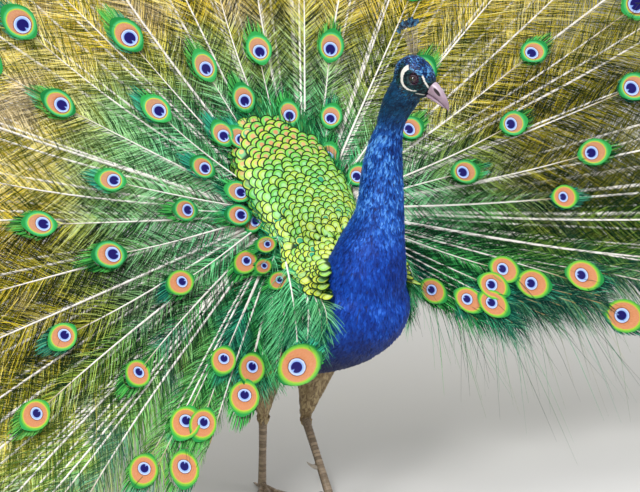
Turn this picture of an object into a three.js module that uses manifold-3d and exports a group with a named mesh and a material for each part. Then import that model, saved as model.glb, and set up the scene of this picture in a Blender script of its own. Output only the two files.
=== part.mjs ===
// Displaying male Indian peafowl (Pavo cristatus), life size, standing still.
// Units are millimetres, +Z is up. The fan faces -Y and the bird's left side is +X.
import * as THREE from 'three';
import { mergeVertices } from 'three/addons/utils/BufferGeometryUtils.js';
import Module from 'manifold-3d';

const wasm = await Module();
wasm.setup();
const { Manifold, Mesh: WasmMesh } = wasm;

// ---------------------------------------------------------------- driving sizes
const GAP = 0.35;                    // clear space between neighbouring solids
const BODY_TURN = 5;                 // degrees, trunk heading towards +X from -Y
const HEAD_TURN = 27;                // degrees, head heading towards +X from -Y
const HEAD_PITCH = -30;              // degrees, skull axis below level

const HUB = [0, -20, 500];           // point that the train feathers spread from
const SIMPLE = 0.12;                 // facets that stray less than this are joined

const FAN_LEAN = 30;                 // degrees, the fan leans back from upright
const FAN_ROLL = -12;                // degrees, the whole fan rolls to the bird's right
const FAN_DISH = 0.128e-3;           // forward curve of a feather, 1/mm
const FAN_SPREAD = 50;               // extra half width of the root oval
const FAN_LIMIT = 150;               // degrees, last feather either side of the middle
const FAN_THICK = 1.0;
const FAN_INNER = 62;                // where the feather sheet starts
const FAN_SECTORS = 13;
const FEATHER_PITCH = 6;             // degrees between rim feathers
// reach of the train at angles from its middle: the sides shorten below the level
const REACH = [[0, 1240], [50, 1225], [90, 1175], [106, 1130], [113, 1030], [119, 750],
  [126, 560], [134, 450], [142, 385], [150, 335]];

const TAIL_ROOT = [0, 55, 430];      // true tail behind the fan
const TAIL_LEAN = 42;
const TAIL_LENGTH = 400;
const TAIL_HALF_ANGLE = 58;

const EYE_RADIUS = 6.5;
const TARSUS_RADIUS = 7.4;
const FOOT_JOINT_Z = 17;             // height of the cut between tarsus and toes

// trunk stations: forward place, underside, back, half width
const TRUNK = [[-112, 286, 336, 28], [-76, 249, 366, 56], [-25, 224, 394, 79], [35, 222, 415, 92],
  [95, 243, 436, 97], [145, 262, 452, 96], [195, 286, 462, 91], [240, 316, 458, 75],
  [270, 348, 440, 47]];
const TRUNK_ENDS = [[-122, 311], [285, 394]];

// neck stations: forward place, left offset, height, radius
const NECK = [[178, 0, 362, 76], [208, 0, 412, 73], [229, 2, 462, 62.5], [232, 6, 490, 55.5],
  [236, 11, 517, 47], [241, 14, 542, 40.5], [240, 17, 570, 37], [237, 20, 603, 34.5],
  [240, 20, 627, 32], [247, 20, 654, 27.5], [259, 21, 684, 22]];
const NECK_CUTS = [560, 690];        // heights of the cuts: lower neck, upper neck, head

// skull stations along the head's own axis: place, top, underside, half width
const SKULL = [[-34, 12, -8, 9.5], [-28, 22, -19, 16], [-18, 30.5, -27, 20.5], [-6, 33.5, -30, 22.6],
  [6, 33, -29.5, 22.4], [16, 30.5, -27, 20], [25, 25.5, -21, 15.8], [31, 20.5, -15.5, 11.6],
  [34.2, 17, -12.5, 9]];
const SKULL_BACK = [-37, 2];
const BILL_BASE = 34.6;
const BILL_TOP = [[34.6, 16.6, -4, 8.4], [42, 15.4, -3.1, 7.4], [50, 13.4, -2.7, 6.4],
  [58, 10.2, -3, 5.2], [65, 6.0, -3.8, 3.9], [71, 1.2, -5.2, 2.4], [74.6, -3.4, -7.2, 1.0]];
const BILL_LOW = [[34.6, -4.5, -12.4, 7.2], [44, -3.6, -11.2, 6.3], [54, -3.3, -10, 5],
  [62, -4.0, -8.8, 3.6], [67.5, -5.0, -7.6, 1.8]];
const EYE_AT = [8.2, 7.2, 17.6];     // along, above and beside the skull's axis

// ---------------------------------------------------------------- frames and maths
const rad = THREE.MathUtils.degToRad;
const V = (x, y, z) => new THREE.Vector3(x, y, z);
const turned = (deg) => [V(Math.sin(rad(deg)), -Math.cos(rad(deg)), 0),
  V(Math.cos(rad(deg)), Math.sin(rad(deg)), 0)];
const [FORE, LEFT] = turned(BODY_TURN);
const bird = (u, v, z) => FORE.clone().multiplyScalar(u).addScaledVector(LEFT, v).setZ(z);
const [HEAD_FORE, HEAD_LEFT] = turned(HEAD_TURN);
const SKULL_AT = bird(259, 21, 684).addScaledVector(HEAD_FORE, 43).setZ(762);
const HEAD_AXIS = HEAD_FORE.clone().multiplyScalar(Math.cos(rad(HEAD_PITCH)))
  .setZ(Math.sin(rad(HEAD_PITCH)));
const HEAD_UP = new THREE.Vector3().crossVectors(HEAD_LEFT, HEAD_AXIS).negate();
if (HEAD_UP.z < 0) HEAD_UP.negate();
const head = (d, n, l) => SKULL_AT.clone().addScaledVector(HEAD_AXIS, d)
  .addScaledVector(HEAD_UP, n).addScaledVector(HEAD_LEFT, l);

function table(rows, x) {            // straight-line reading of a two-column table
  if (x <= rows[0][0]) return rows[0][1];
  for (let i = 1; i < rows.length; i++) {
    if (x <= rows[i][0]) {
      const t = (x - rows[i - 1][0]) / (rows[i][0] - rows[i - 1][0]);
      return rows[i - 1][1] * (1 - t) + rows[i][1] * t;
    }
  }
  return rows[rows.length - 1][1];
}

// ---------------------------------------------------------------- solids
function solid(points, tris) {
  const make = (t) => new Manifold(new WasmMesh({
    numProp: 3,
    vertProperties: new Float32Array(points.flatMap((p) => [p.x, p.y, p.z])),
    triVerts: new Uint32Array(t.flat()),
  }));
  const body = make(tris);
  return body.volume() < 0 ? make(tris.map(([a, b, c]) => [a, c, b])) : body;
}

// closed skin through rings of points; an end is a point or a flat cap at its middle
function loft(rings, startPoint, endPoint) {
  const n = rings[0].length;
  const pts = rings.flat();
  const tris = [];
  for (let i = 0; i + 1 < rings.length; i++) {
    for (let j = 0; j < n; j++) {
      const a = i * n + j;
      const b = i * n + ((j + 1) % n);
      tris.push([a, b, b + n], [a, b + n, a + n]);
    }
  }
  const mean = (ring) => ring.reduce((s, p) => s.add(p), V(0, 0, 0)).divideScalar(n);
  pts.push(startPoint ?? mean(rings[0]), endPoint ?? mean(rings[rings.length - 1]));
  const s = pts.length - 2;
  const last = (rings.length - 1) * n;
  for (let j = 0; j < n; j++) {
    const k = (j + 1) % n;
    tris.push([s, k, j], [s + 1, last + j, last + k]);
  }
  return solid(pts, tris);
}

// ring with its own top, underside and half width, in a plane given by two directions
function ring(centre, side, up, halfWidth, top, under, n, grow = 0) {
  return Array.from({ length: n }, (_, j) => {
    const a = (2 * Math.PI * j) / n;
    const h = Math.sin(a) > 0 ? top : -under;
    return centre.clone().addScaledVector(side, (halfWidth + grow) * Math.cos(a))
      .addScaledVector(up, (h + grow) * Math.sin(a));
  });
}

// round tube through stations of point and radius, with square ends
function tube(stations, n, grow = 0) {
  const rings = stations.map(([p, r, flat = 1], i) => {
    const a = stations[Math.max(0, i - 1)][0];
    const b = stations[Math.min(stations.length - 1, i + 1)][0];
    const dir = b.clone().sub(a).normalize();
    const side = new THREE.Vector3().crossVectors(dir, Math.abs(dir.z) > 0.8 ? FORE : V(0, 0, 1))
      .normalize();
    const up = new THREE.Vector3().crossVectors(side, dir).normalize();
    return ring(p, side, up, r + grow, r * flat + grow, -(r * flat + grow), n);
  });
  return loft(rings);
}

// thin sheet: place(i, j) and its normal give both faces; half(i, j) is half the thickness
function sheet(ni, nj, place, half) {
  const pts = [];
  const grid = [];
  for (let i = 0; i <= ni; i++) {
    grid.push([]);
    for (let j = 0; j <= nj; j++) grid[i].push(place(i, j));
  }
  for (const face of [1, -1]) {
    for (let i = 0; i <= ni; i++) {
      for (let j = 0; j <= nj; j++) {
        const di = grid[Math.min(ni, i + 1)][j].clone().sub(grid[Math.max(0, i - 1)][j]);
        const dj = grid[i][Math.min(nj, j + 1)].clone().sub(grid[i][Math.max(0, j - 1)]);
        const nrm = di.cross(dj).normalize();
        pts.push(grid[i][j].clone().addScaledVector(nrm, face * half(i, j)));
      }
    }
  }
  const at = (f, i, j) => f * (ni + 1) * (nj + 1) + i * (nj + 1) + j;
  const tris = [];
  const quad = (a, b, c, d) => tris.push([a, b, c], [a, c, d]);
  for (let i = 0; i < ni; i++) {
    for (let j = 0; j < nj; j++) {
      quad(at(0, i, j), at(0, i + 1, j), at(0, i + 1, j + 1), at(0, i, j + 1));
      quad(at(1, i, j), at(1, i, j + 1), at(1, i + 1, j + 1), at(1, i + 1, j));
    }
  }
  for (let i = 0; i < ni; i++) {
    quad(at(0, i, 0), at(1, i, 0), at(1, i + 1, 0), at(0, i + 1, 0));
    quad(at(0, i, nj), at(0, i + 1, nj), at(1, i + 1, nj), at(1, i, nj));
  }
  for (let j = 0; j < nj; j++) {
    quad(at(0, 0, j), at(0, 0, j + 1), at(1, 0, j + 1), at(1, 0, j));
    quad(at(0, ni, j), at(1, ni, j), at(1, ni, j + 1), at(0, ni, j + 1));
  }
  return solid(pts, tris);
}

const largest = (m) => m.decompose().sort((a, b) => b.volume() - a.volume())[0];
const slabAbove = (z) => [[0, 0, 1], z];
const trim = (m, [normal, offset]) => m.trimByPlane(normal, offset);

// ---------------------------------------------------------------- trunk, neck, head
function trunkSolid(grow = 0) {
  const rings = TRUNK.map(([u, lo, hi, hw]) => ring(bird(u, 0, (lo + hi) / 2), LEFT, V(0, 0, 1), hw,
    (hi - lo) / 2, -(hi - lo) / 2, 24, grow));
  const [back, front] = TRUNK_ENDS.map(([u, z], i) => bird(u + (i ? grow : -grow), 0, z));
  return loft(rings, back, front);
}

function neckSolid(grow = 0) {
  const top = NECK[NECK.length - 1];
  const stations = NECK.map(([u, v, z, r]) => [bird(u, v, z), r]);
  // the last lengths bend forward under the skull, in the head's own plane
  for (const [f, z, r] of [[5, 702, 22], [14, 720, 24], [25, 736, 25.5], [33, 750, 24]]) {
    stations.push([bird(top[0], top[1], z).addScaledVector(HEAD_FORE, f), r]);
  }
  return tube(stations, 20, grow);
}

function alongHead(rows, n, grow = 0, start, end) {
  const rings = rows.map(([d, hi, lo, hw]) => ring(head(d, (hi + lo) / 2, 0), HEAD_LEFT, HEAD_UP, hw,
    (hi - lo) / 2, -(hi - lo) / 2, n, grow));
  return loft(rings, start, end);
}

const eyeBall = (side, grow = 0, n = 16) => Manifold.sphere(EYE_RADIUS + grow, n)
  .translate(head(EYE_AT[0], EYE_AT[1], side * EYE_AT[2]).toArray());

const trunk = trunkSolid();
const trunkRoom = trunkSolid(GAP);
const neckAll = neckSolid();
const skull = alongHead(SKULL, 20, 0, head(SKULL_BACK[0], SKULL_BACK[1], 0));
let headBody = skull.add(trim(neckAll, slabAbove(NECK_CUTS[1] + GAP / 2)));
for (const side of [-1, 1]) headBody = headBody.subtract(eyeBall(side, GAP));
const neckLower = trim(neckAll, [[0, 0, -1], -(NECK_CUTS[0] - GAP / 2)]).subtract(trunkRoom);
const neckUpper = trim(trim(neckAll, slabAbove(NECK_CUTS[0] + GAP / 2)),
  [[0, 0, -1], -(NECK_CUTS[1] - GAP / 2)]);

// ---------------------------------------------------------------- crest
function crestSolid() {
  const SHAFTS = 6;
  const ROOT_ALONG = [-27, -15];     // where the shafts stand on the crown
  const TIP_ALONG = [-84, -36];
  let body = null;
  for (let i = 0; i < SHAFTS; i++) {
    const t = i / (SHAFTS - 1);
    const side = (i % 2 ? 1 : -1) * (2 + 3 * t);
    const root = head(ROOT_ALONG[0] + t * (ROOT_ALONG[1] - ROOT_ALONG[0]), 29, side * 0.3);
    const tip = head(TIP_ALONG[0] + t * (TIP_ALONG[1] - TIP_ALONG[0]), 56 + 20 * Math.sin(Math.PI * (0.2 + 0.55 * t)), side);
    const dir = tip.clone().sub(root);
    const at = (s) => root.clone().addScaledVector(dir, s);
    const one = tube([[at(0), 0.8], [at(0.72), 0.55], [at(0.8), 2.6, 0.5], [at(0.9), 4.6, 0.4],
      [at(1.0), 3.6, 0.3]], 5);
    body = body ? body.add(one) : one;
  }
  const foot = tube([[head(-28, 26.5, 0), 2.2], [head(-14, 30.5, 0), 2.2]], 6);
  return largest(body.add(foot).subtract(alongHead(SKULL, 20, GAP, head(SKULL_BACK[0] - GAP, SKULL_BACK[1], 0))));
}

// ---------------------------------------------------------------- train
const LEAN = rad(FAN_LEAN);
const FAN_OUT = V(0, -Math.cos(LEAN), Math.sin(LEAN));
const FAN_UP = V(0, Math.sin(LEAN), Math.cos(LEAN));
function fan(r, deg, off = 0) {      // deg is measured from the middle feather
  const a = rad(deg + FAN_ROLL);
  return V(...HUB).addScaledVector(V(1, 0, 0), Math.sin(a) * (r + FAN_SPREAD))
    .addScaledVector(FAN_UP, Math.cos(a) * r).addScaledVector(FAN_OUT, FAN_DISH * r * r + off);
}
const scallop = (deg) => 16 * Math.abs(Math.cos((Math.PI * deg) / FEATHER_PITCH));
const reach = (deg) => table(REACH, Math.abs(deg)) - 16 + scallop(deg);

function sector(from, to, grow = 0) {
  const columns = Math.max(2, Math.round((to - from) / (FEATHER_PITCH / 2)));
  const ROWS = [0, 0.3, 0.65, 1];
  const edge = (r) => ((GAP / 2 - grow) / Math.max(r, 60)) * (180 / Math.PI);
  return sheet(ROWS.length - 1, columns, (i, j) => {
    const t = j / columns;
    const deg = from + (to - from) * t;
    const r = FAN_INNER - grow + (reach(deg) + 2 * grow - FAN_INNER) * ROWS[i];
    return fan(r, deg + edge(r) * (1 - 2 * t));
  }, () => FAN_THICK / 2 + grow);
}

// ---------------------------------------------------------------- mantle and rump
// mantle stations: height, front, back (forward place), half width
const MANTLE = [[360, 128, 20, 84], [395, 146, 5, 96], [430, 146, 0, 98], [475, 117, -10, 94],
  [525, 84, -40, 94], [580, 36, -70, 96], [630, -14, -90, 80], [668, -54, -105, 52],
  [686, -76, -108, 24]];
function mantleSolid(grow = 0) {
  const rings = MANTLE.map(([z, front, back, hw]) => ring(
    bird((front + back) / 2, 0, z).add(V(-0.10 * Math.max(0, z - 500), 0, 0)), LEFT, FORE, hw,
    (front - back) / 2, -(front - back) / 2, 24, grow));
  return loft(rings);
}
// rump stations: forward place, height, radius
const RUMP = [[20, 345, 66], [-20, 395, 62], [-52, 440, 54], [-80, 485, 40], [-98, 520, 22]];
function rumpSolid(grow = 0) {
  return tube(RUMP.map(([u, z, r]) => [bird(u, 0, z), r]), 20, grow);
}
// everything behind (side -1) or before (side +1) the spread feathers near the hub
function fanBlock(side) {
  const COLS = 20;
  const limit = FAN_LIMIT * 7 / FAN_SECTORS;
  const rings = [];
  for (let j = 0; j <= COLS; j++) {
    const deg = -limit + (2 * limit * j) / COLS;
    rings.push([fan(1, deg, side * (FAN_THICK / 2 + GAP) * -1), fan(190, deg, side * (FAN_THICK / 2 + GAP) * -1),
      fan(190, deg, side * 260), fan(1, deg, side * 260)]);
  }
  return loft(rings);
}

// ---------------------------------------------------------------- wings
// wing stations from the wrist to the tip: forward place, upper and lower edge height, flare
const WING = [[208, 418, 350, 3], [165, 442, 300, 4], [105, 440, 262, 6], [45, 420, 238, 12],
  [-10, 388, 205, 30], [-50, 322, 178, 74], [-78, 262, 158, 118], [-96, 206, 150, 158]];
function trunkHalfWidth(u, z) {
  const lo = table(TRUNK.map((s) => [s[0], s[1]]), u);
  const hi = table(TRUNK.map((s) => [s[0], s[2]]), u);
  const hw = table(TRUNK.map((s) => [s[0], s[3]]), u);
  const t = (z - (lo + hi) / 2) / ((hi - lo) / 2);
  return hw * Math.sqrt(Math.max(0.06, 1 - t * t));
}
function wingSolid(side, grow = 0) {
  const ACROSS = 5;
  return sheet(WING.length - 1, ACROSS, (i, j) => {
    const [u, hi, lo, flare] = WING[i];
    const t = j / ACROSS;
    const z = hi + (lo - hi) * t + (side > 0 ? 10 * (i / WING.length) : 0);
    const v = Math.max(trunkHalfWidth(u, z), t > 0.5 ? trunkHalfWidth(u, (hi + lo) / 2) : 0) + 5 + flare;
    return bird(u - 6 * Math.sin(Math.PI * t), side * v, z);
  }, (i, j) => (3.2 - 0.38 * i) * (0.35 + 0.65 * Math.sin(Math.PI * Math.min(0.85, Math.max(0.15, j / ACROSS)))) + grow);
}

// ---------------------------------------------------------------- true tail
function tailSolid() {
  const lean = rad(TAIL_LEAN);
  const up = V(0, Math.sin(lean), Math.cos(lean));
  const COLS = 18;
  return sheet(3, COLS, (i, j) => {
    const deg = TAIL_HALF_ANGLE * (2 * (j / COLS) - 1);
    const a = rad(deg);
    const far = TAIL_LENGTH * (1 - 0.12 * (deg / TAIL_HALF_ANGLE) ** 2) + 9 * Math.cos((2 * Math.PI * j) / 2);
    const r = 35 + (far - 35) * (i / 3);
    return V(...TAIL_ROOT).addScaledVector(V(1, 0, 0), Math.sin(a) * (r + 10))
      .addScaledVector(up, Math.cos(a) * r).add(V(0, -0.00012 * r * r, 0));
  }, () => 0.6);
}

// ---------------------------------------------------------------- legs
const LEGS = {
  left: { side: 1, knee: [-14, 56, 252], hock: [-41, 40, 116], foot: [64, 30], aim: 6 },
  right: { side: -1, knee: [-2, -60, 256], hock: [-27, -50, 141], foot: [-30, -50], aim: -8 },
};
const TOES = [[-34, 56, 4.6], [2, 78, 5.2], [38, 60, 4.6], [186, 26, 3.8]]; // angle, length, radius
const CLAW = 13;

function legParts({ side, knee, hock, foot, aim }) {
  const K = bird(...knee);
  const Hk = bird(...hock);
  const Fo = bird(foot[0], foot[1], 0);
  const ankle = Fo.clone().setZ(9).addScaledVector(FORE, -3);
  const dir = Hk.clone().sub(ankle).normalize();
  // feathered shank: full at the body, drawn in to the hock
  const along = (s) => K.clone().lerp(Hk, s);
  const thighAll = tube([[along(0), 42], [along(0.3), 34], [along(0.55), 25.5], [along(0.78), 17],
    [along(0.93), 12.2], [Hk.clone().addScaledVector(dir, 3), 10.2]], 16);
  const tarsusAll = tube([[Hk.clone().addScaledVector(dir, 2.5), 9.2, 1.1], [Hk.clone().addScaledVector(dir, -7), 9.8, 1.15],
    [Hk.clone().addScaledVector(dir, -20), TARSUS_RADIUS, 1.15], [ankle.clone().lerp(Hk, 0.45), TARSUS_RADIUS - 0.7, 1.15],
    [ankle.clone().lerp(Hk, 0.15), TARSUS_RADIUS - 0.2, 1.1], [ankle.clone(), TARSUS_RADIUS + 1.2, 1.05]], 12);
  // spur on the inner rear of the tarsus
  const spurRoot = ankle.clone().lerp(Hk, 0.34);
  const back = FORE.clone().multiplyScalar(-1).addScaledVector(LEFT, -side * 0.35).normalize();
  const spur = tube([[spurRoot, 4.2], [spurRoot.clone().addScaledVector(back, 12), 3.1],
    [spurRoot.clone().addScaledVector(back, 21).add(V(0, 0, 3)), 1.7], [spurRoot.clone().addScaledVector(back, 27).add(V(0, 0, 7)), 0.6]], 8);
  // toes lie on the floor with a small flat under each
  let toes = Manifold.sphere(9.4, 8).translate(Fo.clone().setZ(8.2).toArray());
  for (const [angle, length, r] of TOES) {
    const [fore] = turned(BODY_TURN + aim + angle * -side);
    const at = (s, z) => Fo.clone().addScaledVector(fore, s).setZ(z);
    toes = toes.add(tube([[at(0, 8), r + 1.2], [at(length * 0.4, r), r], [at(length * 0.7, r - 0.4), r * 0.9],
      [at(length, r - 0.7), r * 0.74]], 7));
    toes = toes.add(tube([[at(length - 3, r - 0.4), r * 0.55], [at(length + CLAW * 0.5, r - 0.8), r * 0.44],
      [at(length + CLAW, 1.0), 0.55]], 5));
  }
  const legAll = tarsusAll.add(spur);
  const foundation = trim(toes.add(trim(tarsusAll, [[0, 0, -1], -(FOOT_JOINT_Z - GAP / 2)])), slabAbove(0));
  const thighFloor = Hk.dot(dir) - 0.5;
  const thigh = trim(thighAll, [dir.toArray(), thighFloor + GAP / 2]).subtract(trunkRoom);
  const tarsus = trim(trim(legAll, [dir.clone().negate().toArray(), -(thighFloor - GAP / 2)]),
    slabAbove(FOOT_JOINT_Z + GAP / 2));
  return { thigh: largest(thigh), tarsus: largest(tarsus), foot: largest(trim(foundation, [[0, 0, -1], -(FOOT_JOINT_Z - GAP / 2)])) };
}

// ---------------------------------------------------------------- put together
const parts = [];
const add = (name, body, colour) => parts.push([name, body, colour]);

const neckRoom = neckSolid(GAP);
const mantleAll = mantleSolid().subtract(trunkRoom).subtract(neckRoom).subtract(fanBlock(-1));
const sectors = [];
for (let i = 0; i < FAN_SECTORS; i++) {
  const width = (2 * FAN_LIMIT) / FAN_SECTORS;
  sectors.push([-FAN_LIMIT + i * width, -FAN_LIMIT + (i + 1) * width]);
}
const mantleRoom = mantleSolid(GAP);
const rumpRoom = rumpSolid(GAP);
const wings = { left: wingSolid(1), right: wingSolid(-1) };
for (const key of ['left', 'right']) {
  wings[key] = largest(wings[key].subtract(trunkRoom).subtract(neckRoom).subtract(mantleRoom)
    .subtract(rumpRoom));
}
const wingRoom = [wingSolid(1, 3 * GAP), wingSolid(-1, 3 * GAP)];
const middle = sectors.filter(([from, to]) => from > -81 && to < 81).map(([from, to]) => sector(from, to, GAP));
const clearOfFan = (body) => largest(middle.reduce((b, room) => b.subtract(room), body));
const mantle = clearOfFan(mantleAll);
const rump = clearOfFan(rumpSolid().subtract(trunkRoom).subtract(mantleRoom).subtract(fanBlock(1)));
const tail = largest(tailSolid().subtract(rumpRoom).subtract(trunkRoom));

add('trunk', trunk, 0x1d3fae);
add('neck_lower', largest(neckLower), 0x1c46c4);
add('neck_upper', largest(neckUpper), 0x1d52c8);
add('head', largest(headBody), 0x154a5c);
add('bill_upper', alongHead(BILL_TOP, 14, 0, undefined, head(75.6, -7.0, 0)), 0x9b8fa0);
add('bill_lower', alongHead(BILL_LOW, 14, 0, undefined, head(68.6, -6.6, 0)), 0x93889a);
add('eye_left', eyeBall(1), 0x2a1408);
add('eye_right', eyeBall(-1), 0x2a1408);
add('crest', crestSolid(), 0x1b3fa0);
add('mantle', mantle, 0x8fb52a);
add('rump', rump, 0x4f6a2a);
add('tail', tail, 0x6b5a48);
add('wing_left', wings.left, 0x9c6a3a);
add('wing_right', wings.right, 0x9c6a3a);
for (const [name, spec] of Object.entries(LEGS)) {
  const { thigh, tarsus, foot } = legParts(spec);
  add(`thigh_${name}`, thigh, 0xb79a6a);
  add(`tarsus_${name}`, tarsus, 0x8d8070);
  add(`foot_${name}`, foot, 0x857868);
}
sectors.forEach(([from, to], i) => {
  let body = sector(from, to);
  if (from > 80 || to < -80) {       // the low side feathers lie round the body
    for (const room of [trunkRoom, neckRoom, mantleRoom, rumpRoom, ...wingRoom]) body = body.subtract(room);
  }
  add(`train_${String(i + 1).padStart(2, '0')}`, largest(body), i % 2 ? 0x3f8f3a : 0x58a13c);
});

function geometryOf(body) {
  const mesh = body.getMesh();
  const raw = new THREE.BufferGeometry();
  const xyz = new Float32Array((mesh.vertProperties.length / mesh.numProp) * 3);
  for (let i = 0; i < xyz.length / 3; i++) {
    for (let k = 0; k < 3; k++) xyz[3 * i + k] = mesh.vertProperties[i * mesh.numProp + k];
  }
  raw.setAttribute('position', new THREE.BufferAttribute(xyz, 3));
  raw.setIndex(Array.from(mesh.triVerts));
  const merged = mergeVertices(raw, 1e-4);
  merged.computeVertexNormals();
  return merged;
}

const peacock = new THREE.Group();
peacock.name = 'peacock';
for (const [name, body, colour] of parts) {
  const mesh = new THREE.Mesh(geometryOf(body.simplify(name === 'mantle' ? 2 * SIMPLE : SIMPLE)),
    new THREE.MeshStandardMaterial({ color: colour, roughness: 0.7, name: `${name}_finish` }));
  mesh.name = name;
  peacock.add(mesh);
}

// origin at the middle of the underside of the whole bird
const box = new THREE.Box3().setFromObject(peacock);
const shift = V(-(box.min.x + box.max.x) / 2, -(box.min.y + box.max.y) / 2, -box.min.z);
for (const mesh of peacock.children) mesh.geometry.translate(shift.x, shift.y, shift.z);

export default peacock;
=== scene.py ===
"""A displaying peacock, life size: skin, feathers, train, crest, bill, eyes and legs round its solids.

The solids' own named sizes are repeated here in metres. "bird" coordinates run forward, left and
up from a point on the floor under the hub of the train, and "fan" coordinates run out along a
train feather and round from the middle one.
"""

import math

import bmesh
import bpy
import numpy as np
from mathutils import Matrix, Vector
from mathutils.bvhtree import BVHTree


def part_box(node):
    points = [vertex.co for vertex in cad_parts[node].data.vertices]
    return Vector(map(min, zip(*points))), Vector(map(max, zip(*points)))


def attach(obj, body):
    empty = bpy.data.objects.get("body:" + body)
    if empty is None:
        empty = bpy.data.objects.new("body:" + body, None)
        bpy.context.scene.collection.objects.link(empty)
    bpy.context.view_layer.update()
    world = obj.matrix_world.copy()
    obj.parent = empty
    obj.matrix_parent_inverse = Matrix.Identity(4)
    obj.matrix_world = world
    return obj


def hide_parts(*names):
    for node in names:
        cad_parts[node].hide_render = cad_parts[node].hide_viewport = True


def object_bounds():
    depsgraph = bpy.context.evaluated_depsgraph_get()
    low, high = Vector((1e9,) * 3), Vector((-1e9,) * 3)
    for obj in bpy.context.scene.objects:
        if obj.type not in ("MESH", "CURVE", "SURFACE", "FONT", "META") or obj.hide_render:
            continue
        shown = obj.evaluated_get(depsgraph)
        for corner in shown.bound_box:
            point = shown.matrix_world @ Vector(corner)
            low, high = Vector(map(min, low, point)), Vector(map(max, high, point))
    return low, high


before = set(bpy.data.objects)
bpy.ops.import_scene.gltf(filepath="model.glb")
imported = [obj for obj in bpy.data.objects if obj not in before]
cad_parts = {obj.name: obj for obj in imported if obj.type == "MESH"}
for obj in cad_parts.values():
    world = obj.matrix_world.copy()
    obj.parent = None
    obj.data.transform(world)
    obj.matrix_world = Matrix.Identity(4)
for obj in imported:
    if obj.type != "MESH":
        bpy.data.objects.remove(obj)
solids_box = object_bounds()
# a coat of feathers stays within these places: a little outside the solids, and above the floor
ROOM_SHARE = 0.030
ROOM = np.array(solids_box) + (np.array(solids_box[1]) - np.array(solids_box[0])) \
    * [[-ROOM_SHARE], [ROOM_SHARE]]
ROOM[0, 2] = 0.004
rng = np.random.default_rng(7)

# ---------------- sizes shared with the solids
BODY_TURN = math.radians(5)
HEAD_TURN = math.radians(27)
HEAD_PITCH = math.radians(-30)
HUB = np.array([0, -0.020, 0.500])
FAN_LEAN = math.radians(30)
FAN_ROLL = -12.0
FAN_DISH = 0.128
FAN_SPREAD = 0.050
FAN_REACH = [(0, 1.240), (50, 1.225), (90, 1.175), (106, 1.130), (113, 1.030), (119, 0.750),
             (126, 0.560), (134, 0.450), (142, 0.385), (150, 0.335)]
TRAIN_SECTORS = 13
TAIL_ROOT = np.array([0, 0.055, 0.430])
TAIL_LEAN = math.radians(42)
EYE_RADIUS = 0.0065
EYE_AT = (0.0082, 0.0072, 0.0176)

# ---------------- directions
def turned(angle):
    """Forward and left for something headed this far from -Y towards +X."""
    return (np.array([math.sin(angle), -math.cos(angle), 0.0]),
            np.array([math.cos(angle), math.sin(angle), 0.0]))


def unit(v):
    v = np.asarray(v, float)
    return v / np.maximum(np.linalg.norm(v, axis=-1, keepdims=True), 1e-9)


def read_off(at, line):
    """The second number of a line of pairs, where the first is at."""
    return np.interp(at, *zip(*line))


def flattened(ways, normals):
    """Directions without the part that runs along the normals."""
    return ways - (ways * normals).sum(1)[:, None] * normals


UP = np.array([0.0, 0.0, 1.0])
FORE, LEFT = turned(BODY_TURN)
HEAD_FORE, HEAD_LEFT = turned(HEAD_TURN)
HEAD_AXIS = HEAD_FORE * math.cos(HEAD_PITCH) + UP * math.sin(HEAD_PITCH)
HEAD_UP = np.cross(HEAD_AXIS, HEAD_LEFT)
HEAD_UP = HEAD_UP * np.sign(HEAD_UP[2])
SKULL = FORE * 0.259 + LEFT * 0.021 + HEAD_FORE * 0.043
SKULL[2] = 0.762

# the solids stand with their origin under their box, so their place is read from an eye
_eye_low, _eye_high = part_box("eye_right")
_eye = SKULL + HEAD_AXIS * EYE_AT[0] + HEAD_UP * EYE_AT[1] - HEAD_LEFT * EYE_AT[2]
SHIFT = (np.array(_eye_low) + np.array(_eye_high)) / 2 - _eye
SHIFT[2] = 0.0
SKULL = SKULL + SHIFT
HUB = HUB + SHIFT
TAIL_ROOT = TAIL_ROOT + SHIFT


def bird(fore, left, up):
    """A point, or an array of them, in the bird's own directions."""
    fore, left, up = np.broadcast_arrays(*(np.asarray(x, float) for x in (fore, left, up)))
    return SHIFT + fore[..., None] * FORE + left[..., None] * LEFT + up[..., None] * UP


def on_head(along, above, beside):
    """A point, or an array of them, in the head's own directions."""
    along, above, beside = np.broadcast_arrays(*(np.asarray(x, float) for x in (along, above, beside)))
    return (SKULL + along[..., None] * HEAD_AXIS + above[..., None] * HEAD_UP
            + beside[..., None] * HEAD_LEFT)


def from_head(places):
    """How far places lie along the head, above its middle and to its left."""
    off = places - SKULL
    return off @ HEAD_AXIS, off @ HEAD_UP, off @ HEAD_LEFT


def across_bird(ways):
    """Twice the part of directions that runs across the bird."""
    return 2 * (ways @ LEFT)[..., None] * LEFT


def mirrored(points):
    """The same places on the bird's other side."""
    return points - across_bird(points - SHIFT)


def on_near_side(places):
    """Places on the bird's right, with those on its left mirrored there."""
    return np.where(((places - SHIFT) @ LEFT)[:, None] > 0, mirrored(places), places)


FAN_OUT = np.array([0.0, -math.cos(FAN_LEAN), math.sin(FAN_LEAN)])
FAN_UP = np.array([0.0, math.sin(FAN_LEAN), math.cos(FAN_LEAN)])
FAN_SIDE = np.array([1.0, 0.0, 0.0])


def fan(r, deg, off=0.0):
    """The surface of the spread train: r out along a feather at deg from the middle one."""
    r, deg, off = np.broadcast_arrays(*(np.asarray(x, float) for x in (r, deg, off)))
    a = np.radians(deg + FAN_ROLL)
    return (HUB + (np.sin(a) * (r + FAN_SPREAD))[..., None] * FAN_SIDE
            + (np.cos(a) * r)[..., None] * FAN_UP + (FAN_DISH * r * r + off)[..., None] * FAN_OUT)


def fan_reach(deg):
    """How far out the train's feathers go at deg from the middle one."""
    return read_off(np.abs(deg), FAN_REACH)


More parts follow.
